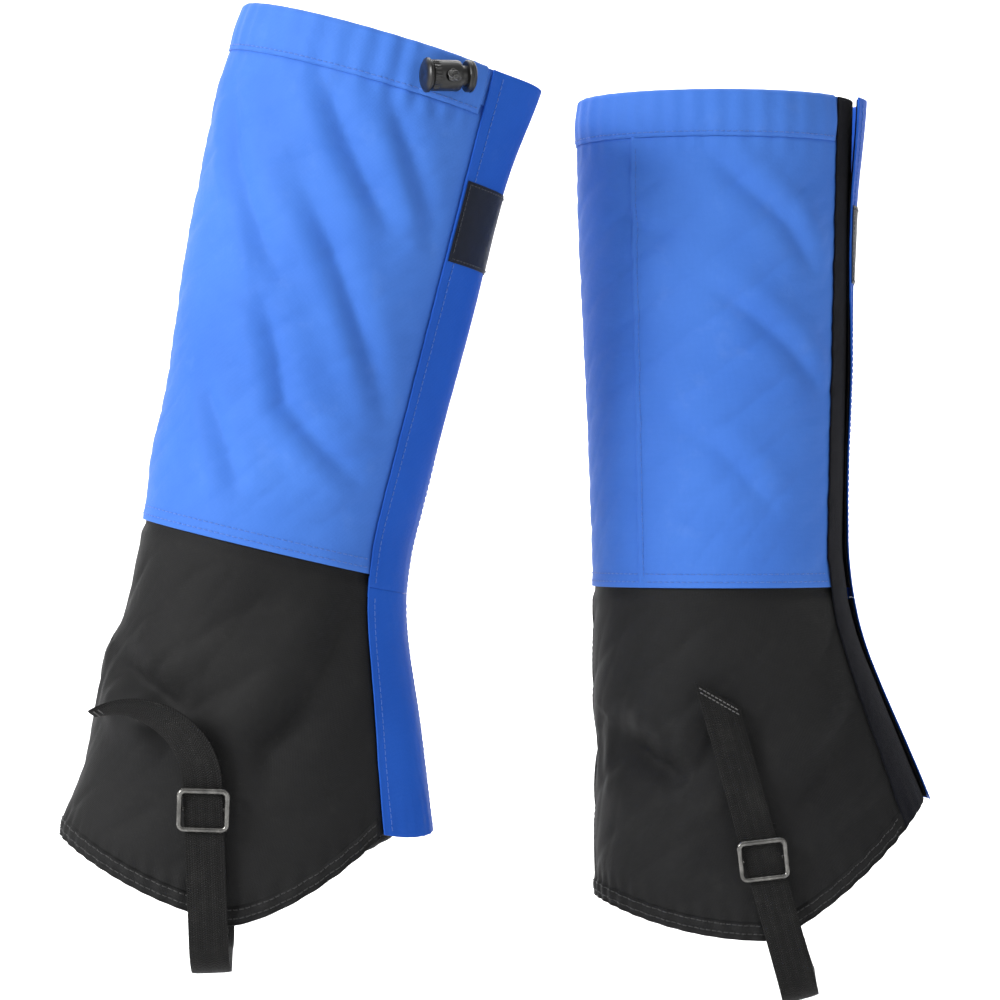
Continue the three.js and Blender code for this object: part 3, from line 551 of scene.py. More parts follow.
def stitches(gaiter, name, line, normals, material, body, pitch=3.1, length=2.3, thick=0.55):
    """A run of thread: each stitch is a small arched loop whose ends dive into the cloth."""
    line = np.asarray(line, float)
    normals = np.asarray(normals, float)
    walked = np.concatenate([[0], np.cumsum(np.linalg.norm(np.diff(line, axis=0), axis=1))])
    count = int(walked[-1] / pitch)
    arch = [(-0.5, -0.25), (-0.36, 0.6), (0.0, 1.0), (0.36, 0.6), (0.5, -0.25)]
    sides = 6
    turns = 2 * math.pi * np.arange(sides) / sides
    vertices = []
    faces = []
    for i in range(count):
        middle = (i + 0.5) * pitch
        base = len(vertices)
        for share, lift in arch:
            at = middle + share * length
            point = np.array([np.interp(at, walked, line[:, k]) for k in range(3)])
            normal = np.array([np.interp(at, walked, normals[:, k]) for k in range(3)])
            normal /= np.linalg.norm(normal)
            ahead = np.array([np.interp(at + 0.4, walked, line[:, k]) for k in range(3)])
            behind = np.array([np.interp(at - 0.4, walked, line[:, k]) for k in range(3)])
            tangent = ahead - behind
            tangent /= np.linalg.norm(tangent) + 1e-9
            across = np.cross(normal, tangent)
            centre = point + normal * thick * 0.45 * lift
            for turn in turns:
                vertices.append(
                    centre + across * math.cos(turn) * thick / 2 + normal * math.sin(turn) * thick * 0.42
                )
        faces += [tuple(base + k for k in face) for face in grid_faces(len(arch), sides, closed=True)]
        faces.append(tuple(base + k for k in range(sides))[::-1])
        faces.append(tuple(base + (len(arch) - 1) * sides + k for k in range(sides)))
    thing = new_object(gaiter.named(name), to_row(gaiter, vertices), faces, material)
    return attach(thing, gaiter.named(body))


def wall_line(gaiter, angles, heights, offset):
    """Points and outward directions along a line on the wall."""
    points = wall(gaiter, angles, heights, offset)
    outer = wall(gaiter, angles, heights, np.asarray(offset) + 1.0)
    normals = outer - points
    return points, normals / np.linalg.norm(normals, axis=1, keepdims=True)


# ---------------------------------------------------------------- materials

class Nodes:
    """A small helper that adds and links shader nodes."""

    def __init__(self, name):
        self.material = bpy.data.materials.new(name)
        self.material.use_nodes = True
        self.tree = self.material.node_tree
        self.shader = self.tree.nodes["Principled BSDF"]
        self.uv = self.add("ShaderNodeUVMap")
        self.uv.uv_map = "cloth"
        self.place = self.add("ShaderNodeTexCoord").outputs["Object"]

    def add(self, kind, **settings):
        node = self.tree.nodes.new(kind)
        for key, value in settings.items():
            if key in node.bl_rna.properties:
                setattr(node, key, value)
            else:
                node.inputs[key].default_value = value
        return node

    def link(self, output, target):
        self.tree.links.new(output, target)
        return target.node

    def noise(self, scale, detail=4, roughness=0.55, vector=None):
        node = self.add("ShaderNodeTexNoise", Scale=scale, Detail=detail, Roughness=roughness)
        self.link(vector or self.place, node.inputs["Vector"])
        return node.outputs["Fac"]

    def wave(self, scale, direction, distortion=0.0):
        node = self.add("ShaderNodeTexWave", wave_type="BANDS", bands_direction=direction)
        node.inputs["Scale"].default_value = scale
        node.inputs["Distortion"].default_value = distortion
        self.link(self.uv.outputs["UV"], node.inputs["Vector"])
        return node.outputs["Fac"]

    def math(self, operation, a, b=None):
        node = self.add("ShaderNodeMath", operation=operation)
        for socket, value in zip(node.inputs, (a, b)):
            if value is None:
                continue
            if isinstance(value, (int, float)):
                socket.default_value = value
            else:
                self.link(value, socket)
        return node.outputs[0]

    def ramp(self, factor, *stops):
        node = self.add("ShaderNodeValToRGB")
        while len(node.color_ramp.elements) < len(stops):
            node.color_ramp.elements.new(0.5)
        for element, (position, colour) in zip(node.color_ramp.elements, stops):
            element.position = position
            element.color = (*colour, 1) if len(colour) == 3 else colour
        self.link(factor, node.inputs["Fac"])
        return node.outputs["Color"]

    def mix(self, factor, a, b, blend="MIX"):
        node = self.add("ShaderNodeMix", data_type="RGBA", blend_type=blend)
        for socket, value in ((node.inputs[0], factor), (node.inputs[6], a), (node.inputs[7], b)):
            if isinstance(value, (int, float)):
                socket.default_value = value
            elif isinstance(value, tuple):
                socket.default_value = (*value, 1)
            else:
                self.link(value, socket)
        return node.outputs[2]

    def bump(self, height, strength, distance, normal=None):
        node = self.add("ShaderNodeBump", Strength=strength, Distance=distance)
        self.link(height, node.inputs["Height"])
        if normal:
            self.link(normal, node.inputs["Normal"])
        return node.outputs["Normal"]

    def set(self, **sockets):
        for key, value in sockets.items():
            socket = self.shader.inputs[key.replace("_", " ")]
            if isinstance(value, (int, float, tuple)):
                socket.default_value = (*value, 1) if isinstance(value, tuple) and len(value) == 3 else value
            else:
                self.link(value, socket)


def woven_cloth(name, dark, light, worn, thread=0.00062, roughness=0.62, sheen=0.25, weave_strength=0.35):
    """Tight plain weave: crossing threads, faint slubs, dusty wear and slow colour drift."""
    n = Nodes(name)
    scale = 1 / thread / 3.1416
    warp = n.wave(scale, "X", 0.4)
    weft = n.wave(scale, "Y", 0.4)
    weave = n.math("MULTIPLY", warp, weft)
    slub = n.noise(900, 2)
    drift = n.noise(14, 5)
    dust = n.noise(55, 6, 0.65)
    base = n.ramp(drift, (0.32, dark), (0.68, light))
    threads = n.mix(n.math("MULTIPLY", weave, 0.35), base, tuple(min(1, c * 1.35 + 0.01) for c in light))
    wear = n.ramp(dust, (0.58, (0, 0, 0)), (0.78, (1, 1, 1)))
    coloured = n.mix(n.math("MULTIPLY", wear, 0.16), threads, worn)
    rough = n.math("ADD", n.math("MULTIPLY", dust, 0.16), roughness - 0.08)
    height = n.math("ADD", weave, n.math("MULTIPLY", slub, 0.6))
    fine = n.bump(height, weave_strength, 0.00018)
    crinkle = n.bump(n.noise(150, 4, 0.6), 0.22, 0.0012, fine)
    n.set(Base_Color=coloured, Roughness=rough, Normal=crinkle, Sheen_Weight=sheen, Sheen_Roughness=0.45)
    n.shader.inputs["Specular IOR Level"].default_value = 0.18
    return n.material


def webbing(name, dark, light):
    """Narrow woven webbing: chevron ribs across its width, a denser selvage and rubbed high spots."""
    n = Nodes(name)
    split = n.add("ShaderNodeSeparateXYZ")
    n.link(n.uv.outputs["UV"], split.inputs[0])
    u, v = split.outputs["X"], split.outputs["Y"]
    fold = n.math("ABSOLUTE", n.math("SUBTRACT", n.math("FRACT", n.math("MULTIPLY", u, 1 / 0.0048)), 0.5))
    slanted = n.math("ADD", n.math("MULTIPLY", v, 1 / 0.0011), n.math("MULTIPLY", fold, 2.2))
    rib = n.math("ABSOLUTE", n.math("SINE", n.math("MULTIPLY", slanted, math.pi)))
    cords = n.math("ABSOLUTE", n.math("SINE", n.math("MULTIPLY", u, math.pi / 0.0012)))
    height = n.math("ADD", rib, n.math("MULTIPLY", cords, 0.5))
    fuzz = n.noise(1400, 3)
    colour = n.ramp(n.math("MULTIPLY", height, 0.66), (0.1, dark), (0.9, light))
    dusty = n.ramp(n.noise(90, 5, 0.65), (0.5, (0, 0, 0)), (0.8, (1, 1, 1)))
    coloured = n.mix(n.math("MULTIPLY", dusty, 0.14), colour, (0.06, 0.058, 0.054))
    normal = n.bump(n.math("ADD", height, n.math("MULTIPLY", fuzz, 0.35)), 0.75, 0.00035)
    n.set(Base_Color=coloured, Roughness=0.62, Normal=normal, Sheen_Weight=0.04, Sheen_Roughness=0.4)
    n.shader.inputs["Specular IOR Level"].default_value = 0.18
    return n.material


def pile_tape(name, dark, light, scale=1500):
    """Hook-and-loop tape: a short tangled pile on a woven back."""
    n = Nodes(name)
    tangle = n.noise(scale, 6, 0.75)
    clumps = n.noise(260, 4, 0.6)
    height = n.math("ADD", tangle, n.math("MULTIPLY", clumps, 0.7))
    colour = n.ramp(height, (0.35, dark), (1.15, light))
    normal = n.bump(height, 1.0, 0.0006)
    n.set(Base_Color=colour, Roughness=0.9, Normal=normal, Sheen_Weight=0.03, Sheen_Roughness=0.55)
    n.shader.inputs["Specular IOR Level"].default_value = 0.1
    return n.material


def elastic_band(name):
    n = Nodes(name)
    ribs = n.wave(1 / 0.0011 / 3.1416, "Y", 0.3)
    threads = n.wave(1 / 0.0006 / 3.1416, "X", 0.5)
    height = n.math("ADD", ribs, n.math("MULTIPLY", threads, 0.4))
    colour = n.ramp(n.math("MULTIPLY", height, 0.7), (0.1, (0.008, 0.008, 0.009)), (0.9, (0.05, 0.05, 0.05)))
    n.set(Base_Color=colour, Roughness=0.8, Normal=n.bump(height, 0.7, 0.0003), Sheen_Weight=0.2)
    return n.material


def braided_cord(name, dark, light):
    n = Nodes(name)
    split = n.add("ShaderNodeSeparateXYZ")
    n.link(n.uv.outputs["UV"], split.inputs[0])
    round_it, along = split.outputs["X"], split.outputs["Y"]
    lean = n.math("MULTIPLY", along, 1 / 0.004)
    strands = []
    for way in ("ADD", "SUBTRACT"):
        spiral = n.math(way, n.math("MULTIPLY", round_it, 4), lean)
        strands.append(n.math("SINE", n.math("MULTIPLY", spiral, 2 * math.pi)))
    height = n.math("MAXIMUM", *strands)
    fuzz = n.noise(2200, 3)
    colour = n.ramp(n.math("ADD", n.math("MULTIPLY", height, 0.5), 0.3), (0.1, dark), (0.9, light))
    normal = n.bump(n.math("ADD", height, n.math("MULTIPLY", fuzz, 0.4)), 0.8, 0.0003)
    n.set(Base_Color=colour, Roughness=0.7, Normal=normal, Sheen_Weight=0.3)
    return n.material


def thread(name, dark, light):
    n = Nodes(name)
    twist = n.noise(2600, 3, 0.6)
    colour = n.ramp(twist, (0.3, dark), (0.7, light))
    n.set(Base_Color=colour, Roughness=0.55, Normal=n.bump(twist, 0.5, 0.0002), Sheen_Weight=0.25)
    return n.material


def moulded_plastic(name, dark, light):
    """Satin moulded plastic: fine spark texture, rubbed edges and a little dust."""
    n = Nodes(name)
    grain = n.noise(3200, 3, 0.6)
    smear = n.noise(120, 5, 0.6)
    colour = n.ramp(smear, (0.35, dark), (0.75, light))
    rough = n.math("ADD", n.math("MULTIPLY", smear, 0.25), 0.22)
    normal = n.bump(grain, 0.25, 0.00008, n.bump(smear, 0.1, 0.0004))
    n.set(Base_Color=colour, Roughness=rough, Normal=normal, Coat_Weight=0.15, Coat_Roughness=0.3)
    return n.material


def dull_metal(name, dark, light):
    """Grey plated wire: worn bright on its high spots, with fine scratches and pits."""
    n = Nodes(name)
    stretch = n.add("ShaderNodeMapping")
    stretch.inputs["Scale"].default_value = (1, 9, 1)
    n.link(n.place, stretch.inputs["Vector"])
    scratches = n.noise(900, 6, 0.7, stretch.outputs["Vector"])
    patches = n.noise(210, 5, 0.6)
    colour = n.ramp(patches, (0.35, dark), (0.7, light))
    rough = n.math("ADD", n.math("MULTIPLY", scratches, 0.25), n.math("MULTIPLY", patches, 0.2))
    normal = n.bump(scratches, 0.25, 0.0001, n.bump(patches, 0.2, 0.0003))
    n.set(Base_Color=colour, Roughness=rough, Normal=normal, Metallic=0.85)
    return n.material


def make_materials():
    return {
        "blue": woven_cloth(
            "blue_cloth", (0.040, 0.145, 0.54), (0.058, 0.185, 0.62), (0.16, 0.30, 0.70), sheen=0.06,
        ),
        # The flap's blue is a darker copy of the panel blue: painted shade for the flap, which turns away
        # from the key light.
        "flap_painted_shade_blue": woven_cloth(
            "flap_blue_cloth", (0.007, 0.078, 0.44), (0.012, 0.10, 0.52), (0.10, 0.24, 0.66), sheen=0.02,
        ),
        "black": woven_cloth(
            "black_cloth", (0.005, 0.005, 0.0055), (0.010, 0.010, 0.010), (0.04, 0.039, 0.036),
            thread=0.0008, roughness=0.6, sheen=0.02, weave_strength=0.6,
        ),
        "webbing": webbing("webbing", (0.002, 0.002, 0.002), (0.009, 0.0088, 0.0085)),
        "pile": pile_tape("hook_and_loop_tape", (0.0008, 0.0008, 0.0015), (0.006, 0.0065, 0.011)),
        "label": woven_cloth(
            "label_cloth", (0.003, 0.005, 0.013), (0.005, 0.008, 0.018), (0.02, 0.03, 0.05),
            thread=0.0004, roughness=0.5, sheen=0.1, weave_strength=0.25,
        ),
        "elastic": elastic_band("elastic"),
        "cord": braided_cord("cord", (0.004, 0.004, 0.004), (0.035, 0.034, 0.033)),
        "blue_thread": thread("blue_thread", (0.025, 0.11, 0.45), (0.06, 0.19, 0.62)),
        "black_thread": thread("black_thread", (0.005, 0.005, 0.005), (0.02, 0.02, 0.02)),
        "label_thread": thread("label_thread", (0.003, 0.005, 0.013), (0.008, 0.011, 0.025)),
        "pale_thread": thread("pale_thread", (0.05, 0.05, 0.048), (0.17, 0.165, 0.16)),
        "plastic": moulded_plastic("black_plastic", (0.004, 0.004, 0.004), (0.013, 0.0125, 0.012)),
        "metal": dull_metal("grey_metal", (0.11, 0.108, 0.103), (0.27, 0.265, 0.25)),
        "steel": dull_metal("spring_steel", (0.45, 0.45, 0.44), (0.65, 0.65, 0.64)),
    }


# ---------------------------------------------------------------- cloth panels

def degrees_between(start, end, step=1.2):
    return np.linspace(start, end, max(2, int(abs(end - start) / step) + 1))


def panel_grid(gaiter, start, end, low, high, offset, rows, step=1.2):
    """A grid over the wall. Low and high may depend on the angle, and offset on the angle and height."""
    angles = degrees_between(start, end, step)
    shares = np.linspace(0, 1, rows)
    bottom = low(angles) if callable(low) else np.full(angles.shape, float(low))
    top = high(angles) if callable(high) else np.full(angles.shape, float(high))
    heights = bottom + shares[:, None] * (top - bottom)
    lift = offset(angles[None, :], heights) if callable(offset) else offset
    return wall(gaiter, np.broadcast_to(angles, heights.shape), heights, lift)


def sheet_declared(thing):
    """Works out the cloth's flat width and height, and its area kept just under their product; nothing is
    stored.
    """
    width, length = thing["flat_size"]
    area = surface_area(thing)
    area = min(area, 0.999 * width * length)


def surface_area(thing):
    return sum(polygon.area for polygon in thing.data.polygons)


FOLD = 0.5  # how far a folded edge stands over the cloth it is sewn to
BACK_SEAM_STEP = 1.1
COLLAR_TUCK = 1.3


def upper_panel(gaiter, name, start, end, node, paint):
    def lift(angle, height):
        folded = FOLD * smooth(PANEL_SEAM_HEIGHT + 9, PANEL_SEAM_HEIGHT + 2, height)
        back = BACK_SEAM_STEP * smooth(BACK_SEAM + 4, BACK_SEAM + 0.5, angle) if start >= BACK_SEAM else 0
        tucked = COLLAR_TUCK * smooth(COLLAR_BOTTOM - 0.5, COLLAR_BOTTOM + 2, height)
        return CLOTH + folded + back - tucked
    top = COLLAR_BOTTOM + 6
    grid = panel_grid(gaiter, start, end, PANEL_SEAM_HEIGHT, top, lift, 118)
    piece = cloth_piece(gaiter, name, grid, paint["blue"])
    finish_piece(gaiter, piece, "gaiter", node)
    sheet_declared(piece)
    return piece


def front_edge_panel(gaiter, name, start, end, paint):
    """Where the panel runs on up to the rim beside the collar's end, under the tapes."""
    grid = panel_grid(gaiter, start, end, COLLAR_BOTTOM + 5, RIM_HEIGHT - EDGE, CLOTH, 12)
    piece = cloth_piece(gaiter, name, grid, paint["blue"])
    return finish_piece(gaiter, piece, "gaiter")


def lower_panel(gaiter, name, start, end, node, paint):
    def lift(angle, height):
        tucked = (CLOTH + GAP) * smooth(PANEL_SEAM_HEIGHT - 7, PANEL_SEAM_HEIGHT - 1, height)
        seam = 0.4 * np.exp(-((angle - HEEL_SEAM) / 2.5) ** 2)
        return CLOTH - tucked + seam
    grid = panel_grid(gaiter, start, end, lambda a: hem_height(a) + 0.6, PANEL_SEAM_HEIGHT + 8, lift, 84)
    piece = cloth_piece(gaiter, name, grid, paint["black"])
    finish_piece(gaiter, piece, "gaiter", node)
    sheet_declared(piece)
    return piece


HEM_BAND = 8.5
HEM_FOLD = 0.9


def hem_band(gaiter, paint):
    """The hem is one folded sheet, from its outer edge round the bottom and up the inside."""
    angles = degrees_between(FLAP_SEAM + 1, PANEL_FRONT - 1)
    profile = []
    for share in np.linspace(0, 1, 7):
        swollen = 0.75 * math.sin(math.pi * min(share * 1.1, 1))
        profile.append((HEM_BAND * (1 - share), CLOTH + swollen + 0.12))
    for turn in np.radians(np.linspace(15, 165, 7)):
        profile.append((-1.1 * math.sin(turn) - 0.05, 0.35 + 1.5 * math.cos(turn)))
    for share in np.linspace(0, 1, 5):
        profile.append((HEM_BAND * share, -CLOTH - 0.15))
    rows = [
        wall(gaiter, angles, hem_height(angles) + np.maximum(rise, -HEM_FOLD) + HEM_FOLD, lift)
        for rise, lift in profile
    ]
    piece = cloth_piece(gaiter, "hem_band", rows, paint["black"], thickness=0.6, rounding=0)
    return finish_piece(gaiter, piece, "gaiter", "hem_facing")


def collar_lift(angle, share):
    """How far the collar's outer face stands out: swollen by the cord's channel, and more at the eyelet."""
    at_eyelet = 1.0 * np.exp(-((angle - EYELET_ANGLE) / 13) ** 2)
    return CLOTH + FOLD + at_eyelet + 0.9 * np.sin(math.pi * share) ** 1.2


def collar_band(gaiter, paint):
    """The collar is one sheet folded over the rim, swollen by the cord's channel."""
    angles = degrees_between(COLLAR_FROM, COLLAR_TO)
    outer = collar_lift(angles, 0)
    profile = []
    for share in np.linspace(0, 1, 13):
        height = COLLAR_BOTTOM + share * (COLLAR_HEIGHT - 3)
        profile.append((height, collar_lift(angles, share)))
    inner = -CLOTH - 2.2
    middle = (outer + inner) / 2
    for turn in np.radians(np.linspace(15, 165, 9)):
        profile.append((RIM_HEIGHT - 3 + 3 * math.sin(turn), middle + (outer - middle) * math.cos(turn)))
    for share in np.linspace(0, 1, 9):
        height = RIM_HEIGHT - 3 - share * (COLLAR_HEIGHT - 3)
        profile.append((height, inner + (2.2 - CLOTH + 0.5) * smooth(0.45, 0.9, share)))
    rows = [wall(gaiter, angles, height, lift) for height, lift in profile]
    piece = cloth_piece(gaiter, "collar_band", rows, paint["blue"], thickness=0.8, rounding=0)
    return finish_piece(gaiter, piece, "gaiter", "collar")


def ankle_elastic(gaiter, paint):
    grid = panel_grid(
        gaiter, ELASTIC_FROM, ELASTIC_TO, ELASTIC_HEIGHT - ELASTIC_WIDTH / 2,
        ELASTIC_HEIGHT + ELASTIC_WIDTH / 2, -GAP, 16, 0.8,
    )
    piece = cloth_piece(gaiter, "elastic_band", grid, paint["elastic"], thickness=1.0)
    return finish_piece(gaiter, piece, "gaiter", "ankle_elastic")


def tape_strip(gaiter, name, start, end, low, high, offset, body, node, paint, rows):
    grid = panel_grid(gaiter, start, end, low, high, offset, rows)
    piece = cloth_piece(gaiter, name, grid, paint["pile"], thickness=TAPE)
    return finish_piece(gaiter, piece, body, node)


# ---------------------------------------------------------------- flap

def flap_inner(angle):
    clear = np.clip((FLAP_SEAM - angle) / FLAP_RISE_ANGLE, 0, 1)
    return FLAP_OVER_CLOTH + (FLAP_OVER_TAPE - FLAP_OVER_CLOTH) * clear


def flap_free_angle(height):
    up = (height - ANKLE_HEIGHT) / (RIM_HEIGHT - ANKLE_HEIGHT)
    down = np.clip((ANKLE_HEIGHT - height) / (ANKLE_HEIGHT - HEM_LOW - HEM_INSTEP_RISE), 0, 1)
    above = FLAP_FREE_AT_ANKLE + (FLAP_FREE_AT_RIM - FLAP_FREE_AT_ANKLE) * up
    below = FLAP_FREE_AT_ANKLE + (FLAP_FREE_AT_HEM - FLAP_FREE_AT_ANKLE) * down
    return np.where(height >= ANKLE_HEIGHT, above, below)


def flap_grid(gaiter, low, high, rows, lift=0.0, start=FLAP_SEAM, end_inset=0.0, columns=44):
    """A grid along the flap from its seam (share 0) to its free edge (share 1)."""
    shares = np.linspace(0, 1, columns)
    heights = np.empty((rows, columns))
    angles = np.empty((rows, columns))
    for i, share_up in enumerate(np.linspace(0, 1, rows)):
        height = np.full(columns, ANKLE_HEIGHT, float)
        for _ in range(3):
            angle = start + (flap_free_angle(height) + end_inset - start) * shares
            height = low(angle) + share_up * (high(angle) - low(angle))
        heights[i] = height
        angles[i] = angle
    edge = smooth(0.0, 0.05, shares) * smooth(1.0, 0.95, shares)
    billow = 0.9 * np.sin(heights / 31 + gaiter.seed) * np.sin(math.pi * shares) ** 2
    billow += 0.5 * np.sin(heights / 17 + 1.4 * gaiter.seed) * shares ** 2
    flare = FLAP_FLARE * smooth(RIM_HEIGHT - 60, RIM_HEIGHT + 12, heights)
    flare = flare * smooth(FLAP_SEAM, FLAP_SEAM - 25, angles)
    offset = flap_inner(angles) + CLOTH + lift + np.maximum(billow, -0.5) + 0.35 * (1 - edge) + flare
    return wall(gaiter, angles, heights, offset)


def level(height):
    """The same height at every angle."""
    return lambda angle: np.full(np.shape(angle), float(height))


above_bend = level(ANKLE_HEIGHT + 0.02)
below_bend = level(ANKLE_HEIGHT - 0.02)
flap_top = level(RIM_HEIGHT - EDGE)


def flap_low(angle):
    return hem_height(angle) + EDGE


def ankle_lap(gaiter, paint):
    """The upper half runs on a little behind the lower one, so that nothing shows between them."""
    low, high = level(ANKLE_HEIGHT + 0.02 - FLAP_LAP), level(ANKLE_HEIGHT + 0.02 + FLAP_LAP)
    grid = flap_grid(gaiter, low, high, 12, -CLOTH - 0.1, FLAP_SEAM - 1, HOOK_FROM - FLAP_FREE_AT_ANKLE, 30)
    piece = cloth_piece(gaiter, "flap_lap", grid, paint["flap_painted_shade_blue"], thickness=0.8, rounding=0)
    finish_piece(gaiter, piece, "flap_upper")


def flap(gaiter, paint):
    # Both halves of the flap and its lap take the darker blue, painted shade for the flap's side away from
    # the light.
    grid = flap_grid(gaiter, above_bend, flap_top, 120)
    upper = cloth_piece(gaiter, "flap_upper_cloth", grid, paint["flap_painted_shade_blue"])
    finish_piece(gaiter, upper, "flap_upper", "flap_upper")
    sheet_declared(upper)
    grid = flap_grid(gaiter, flap_low, below_bend, 56)
    lower = cloth_piece(gaiter, "flap_lower_cloth", grid, paint["flap_painted_shade_blue"])
    finish_piece(gaiter, lower, "flap_lower", "flap_lower")
    sheet_declared(lower)

    hook_tapes(gaiter, paint)
    label(gaiter, paint)
    ankle_lap(gaiter, paint)


def hook_tapes(gaiter, paint):
    """The hook side of the fastening, under each half of the flap."""
    lift = -CLOTH - GAP * 0.4
    for name, low, high, low_inset, high_inset, rows, body in (
        ("hook_tape_upper", above_bend, flap_top, FLAP_LAP, EDGE, 60, "flap_upper"),
        ("hook_tape_lower", flap_low, below_bend, EDGE, EDGE, 30, "flap_lower"),
    ):
        grid = flap_grid(
            gaiter, lambda a: low(a) + low_inset, lambda a: high(a) - high_inset, rows, lift,
            HOOK_FROM, 1.0, 14,
        )
        piece = cloth_piece(gaiter, f"{name}_pile", grid, paint["pile"], thickness=0.9)
        finish_piece(gaiter, piece, body, name)


def label(gaiter, paint):
    """A plain patch across the flap."""
    low, high = level(LABEL_TOP - LABEL_HEIGHT), level(LABEL_TOP)
    grid = flap_grid(gaiter, low, high, 26, 0.55, FLAP_SEAM - EDGE, 1.0)
    patch = cloth_piece(gaiter, "label_patch", grid, paint["label"], thickness=0.5, rounding=0.15)
    finish_piece(gaiter, patch, "flap_upper", "label")


# ---------------------------------------------------------------- strap, sliders, tabs

def strap_point(across, along, out):
    return across * ACROSS + along * ALONG + out * OUT


def across_of(slider):
    return slider[0] * math.cos(SLANT) + slider[1] * math.sin(SLANT)


def along_of(slider):
    return slider[1] * math.cos(SLANT) - slider[0] * math.sin(SLANT)


def strap_across(gaiter):
    """How far along the foot the strap runs: where it leaves each slider, and where it reaches the sole."""
    outer, inner = across_of(OUTER_SLIDER), across_of(INNER_SLIDER)
    if gaiter.side > 0:
        return outer, inner + STRAP_DRIFT, inner, inner
    return outer, outer, inner, outer - STRAP_DRIFT


def strap_stations(gaiter):
    """Centre, width direction, outward face and shear of the cut end, all along the strap."""
    side = gaiter.side
    stations = []

    def add(across, along, out, face, shear=0.0):
        stations.append((strap_point(across, along, out), ACROSS, face / np.linalg.norm(face), shear))

    outer_across, outer_foot, inner_across, inner_foot = strap_across(gaiter)
    outer_along, inner_along = along_of(OUTER_SLIDER), along_of(INNER_SLIDER)
    leave = outer_along + SLIDER_HEIGHT / 2 + CURL_START
    if gaiter.curled:
        stations += curled_tail(side, outer_across, leave)
    else:
        end = outer_along + TAIL_LENGTH - WEBBING_WIDTH / 2
        for share in np.linspace(1, 0, 24)[:-1]:
            sheared = WEBBING_WIDTH * smooth(0.6, 1.0, share)
            add(outer_across, leave + share * (end - leave), side * LEG_OUT, side * OUT, sheared)
    middle = STRAP_FLOOR + gaiter.take_up + WEBBING_THICKNESS / 2
    bend_top = middle + STRAP_BEND_RADIUS
    flat_out = LEG_OUT - STRAP_BEND_RADIUS
    lead_in = outer_along - STRAP_LEAD_IN
    for along in np.linspace(leave, bend_top, 34)[:-1]:
        slanted = np.clip((lead_in - along) / (lead_in - bend_top), 0, 1)
        add(outer_across + (outer_foot - outer_across) * slanted, along, side * LEG_OUT, side * OUT)
    bend = np.radians(np.linspace(0, 90, 14))
    for turn in bend:
        along = middle + STRAP_BEND_RADIUS * (1 - math.sin(turn))
        face = side * math.cos(turn) * OUT - math.sin(turn) * ALONG
        add(outer_foot, along, side * (flat_out + STRAP_BEND_RADIUS * math.cos(turn)), face)
    for share in np.linspace(0, 1, 26)[1:-1]:
        across = outer_foot + (inner_foot - outer_foot) * share
        add(across, middle, side * flat_out * (1 - 2 * share), -ALONG)
    for turn in bend[::-1]:
        along = middle + STRAP_BEND_RADIUS * (1 - math.sin(turn))
        face = -side * math.cos(turn) * OUT - math.sin(turn) * ALONG
        add(inner_foot, along, -side * (flat_out + STRAP_BEND_RADIUS * math.cos(turn)), face)
    inner_end = inner_along + INNER_TAIL_LENGTH + 2 * gaiter.take_up - WEBBING_WIDTH / 2
    lead_in = inner_along - STRAP_LEAD_IN
    for along in np.linspace(bend_top, inner_end, 78)[1:]:
        share = (along - bend_top) / (inner_end - bend_top)
        slanted = np.clip((lead_in - along) / (lead_in - bend_top), 0, 1)
        across = inner_across + (inner_foot - inner_across) * slanted
        sheared = WEBBING_WIDTH * smooth(0.72, 1.0, share)
        add(across, along, -side * LEG_OUT, -side * OUT, sheared)
    return stations


def curled_tail(side, across, leave):
    """Stations down a free tail that falls over towards the heel and twists edge-on, from its end."""
    stations = []
    radius = (TAIL_LENGTH - SLIDER_HEIGHT / 2 - CURL_START) / math.radians(CURL_ANGLE)
    for share in np.linspace(1, 0, 40)[:-1]:
        bend = math.radians(CURL_ANGLE) * share
        twist = math.radians(CURL_TWIST) * share
        centre = strap_point(
            across - radius * (1 - math.cos(bend)),
            leave + radius * math.sin(bend),
            side * (LEG_OUT + CURL_SPREAD * share),
        )
        level = strap_point(math.cos(bend), math.sin(bend), 0)
        width = level * math.cos(twist) + side * OUT * math.sin(twist)
        face = side * OUT * math.cos(twist) - level * math.sin(twist)
        stations.append((centre, width / np.linalg.norm(width), face / np.linalg.norm(face), 0.0))
    return stations


def ribbon(gaiter, name, stations, width, thickness, material, columns=9):
    """A closed band of webbing with a rounded selvage, swept along stations."""
    edges = np.linspace(-1, 1, columns)
    section = []
    for edge in edges:
        section.append((edge, 1 - 0.55 * abs(edge) ** 8))
    for edge in edges[::-1]:
        section.append((edge, -(1 - 0.55 * abs(edge) ** 8)))
    vertices = []
    uv = []
    walked = 0.0
    previous = stations[0][0]
    for centre, across, face, shear in stations:
        walked += float(np.linalg.norm(centre - previous))
        previous = centre
        along = np.cross(face, across)
        if np.dot(along, ALONG) < 0:
            along = -along
        for edge, depth in section:
            place = centre + across * edge * width / 2 + face * (depth * thickness / 2)
            vertices.append(place - along * edge * shear / 2)
            uv.append((edge * width / 2000, walked * 0.001))
    size = len(section)
    faces = grid_faces(len(stations), size, closed=True)
    for c in range(columns - 1):
        quad = (c, c + 1, size - 2 - c, size - 1 - c)
        last = (len(stations) - 1) * size
        faces.append(quad[::-1])
        faces.append(tuple(last + k for k in quad))
    piece = new_object(gaiter.named(name), to_row(gaiter, vertices), faces, material)
    outward_normals(piece)
    add_uv(piece, uv)
    shade_by_angle(piece, 60)
    return piece


def outward_normals(piece):
    mesh = bmesh.new()
    mesh.from_mesh(piece.data)
    bmesh.ops.recalc_face_normals(mesh, faces=mesh.faces)
    mesh.to_mesh(piece.data)
    mesh.free()


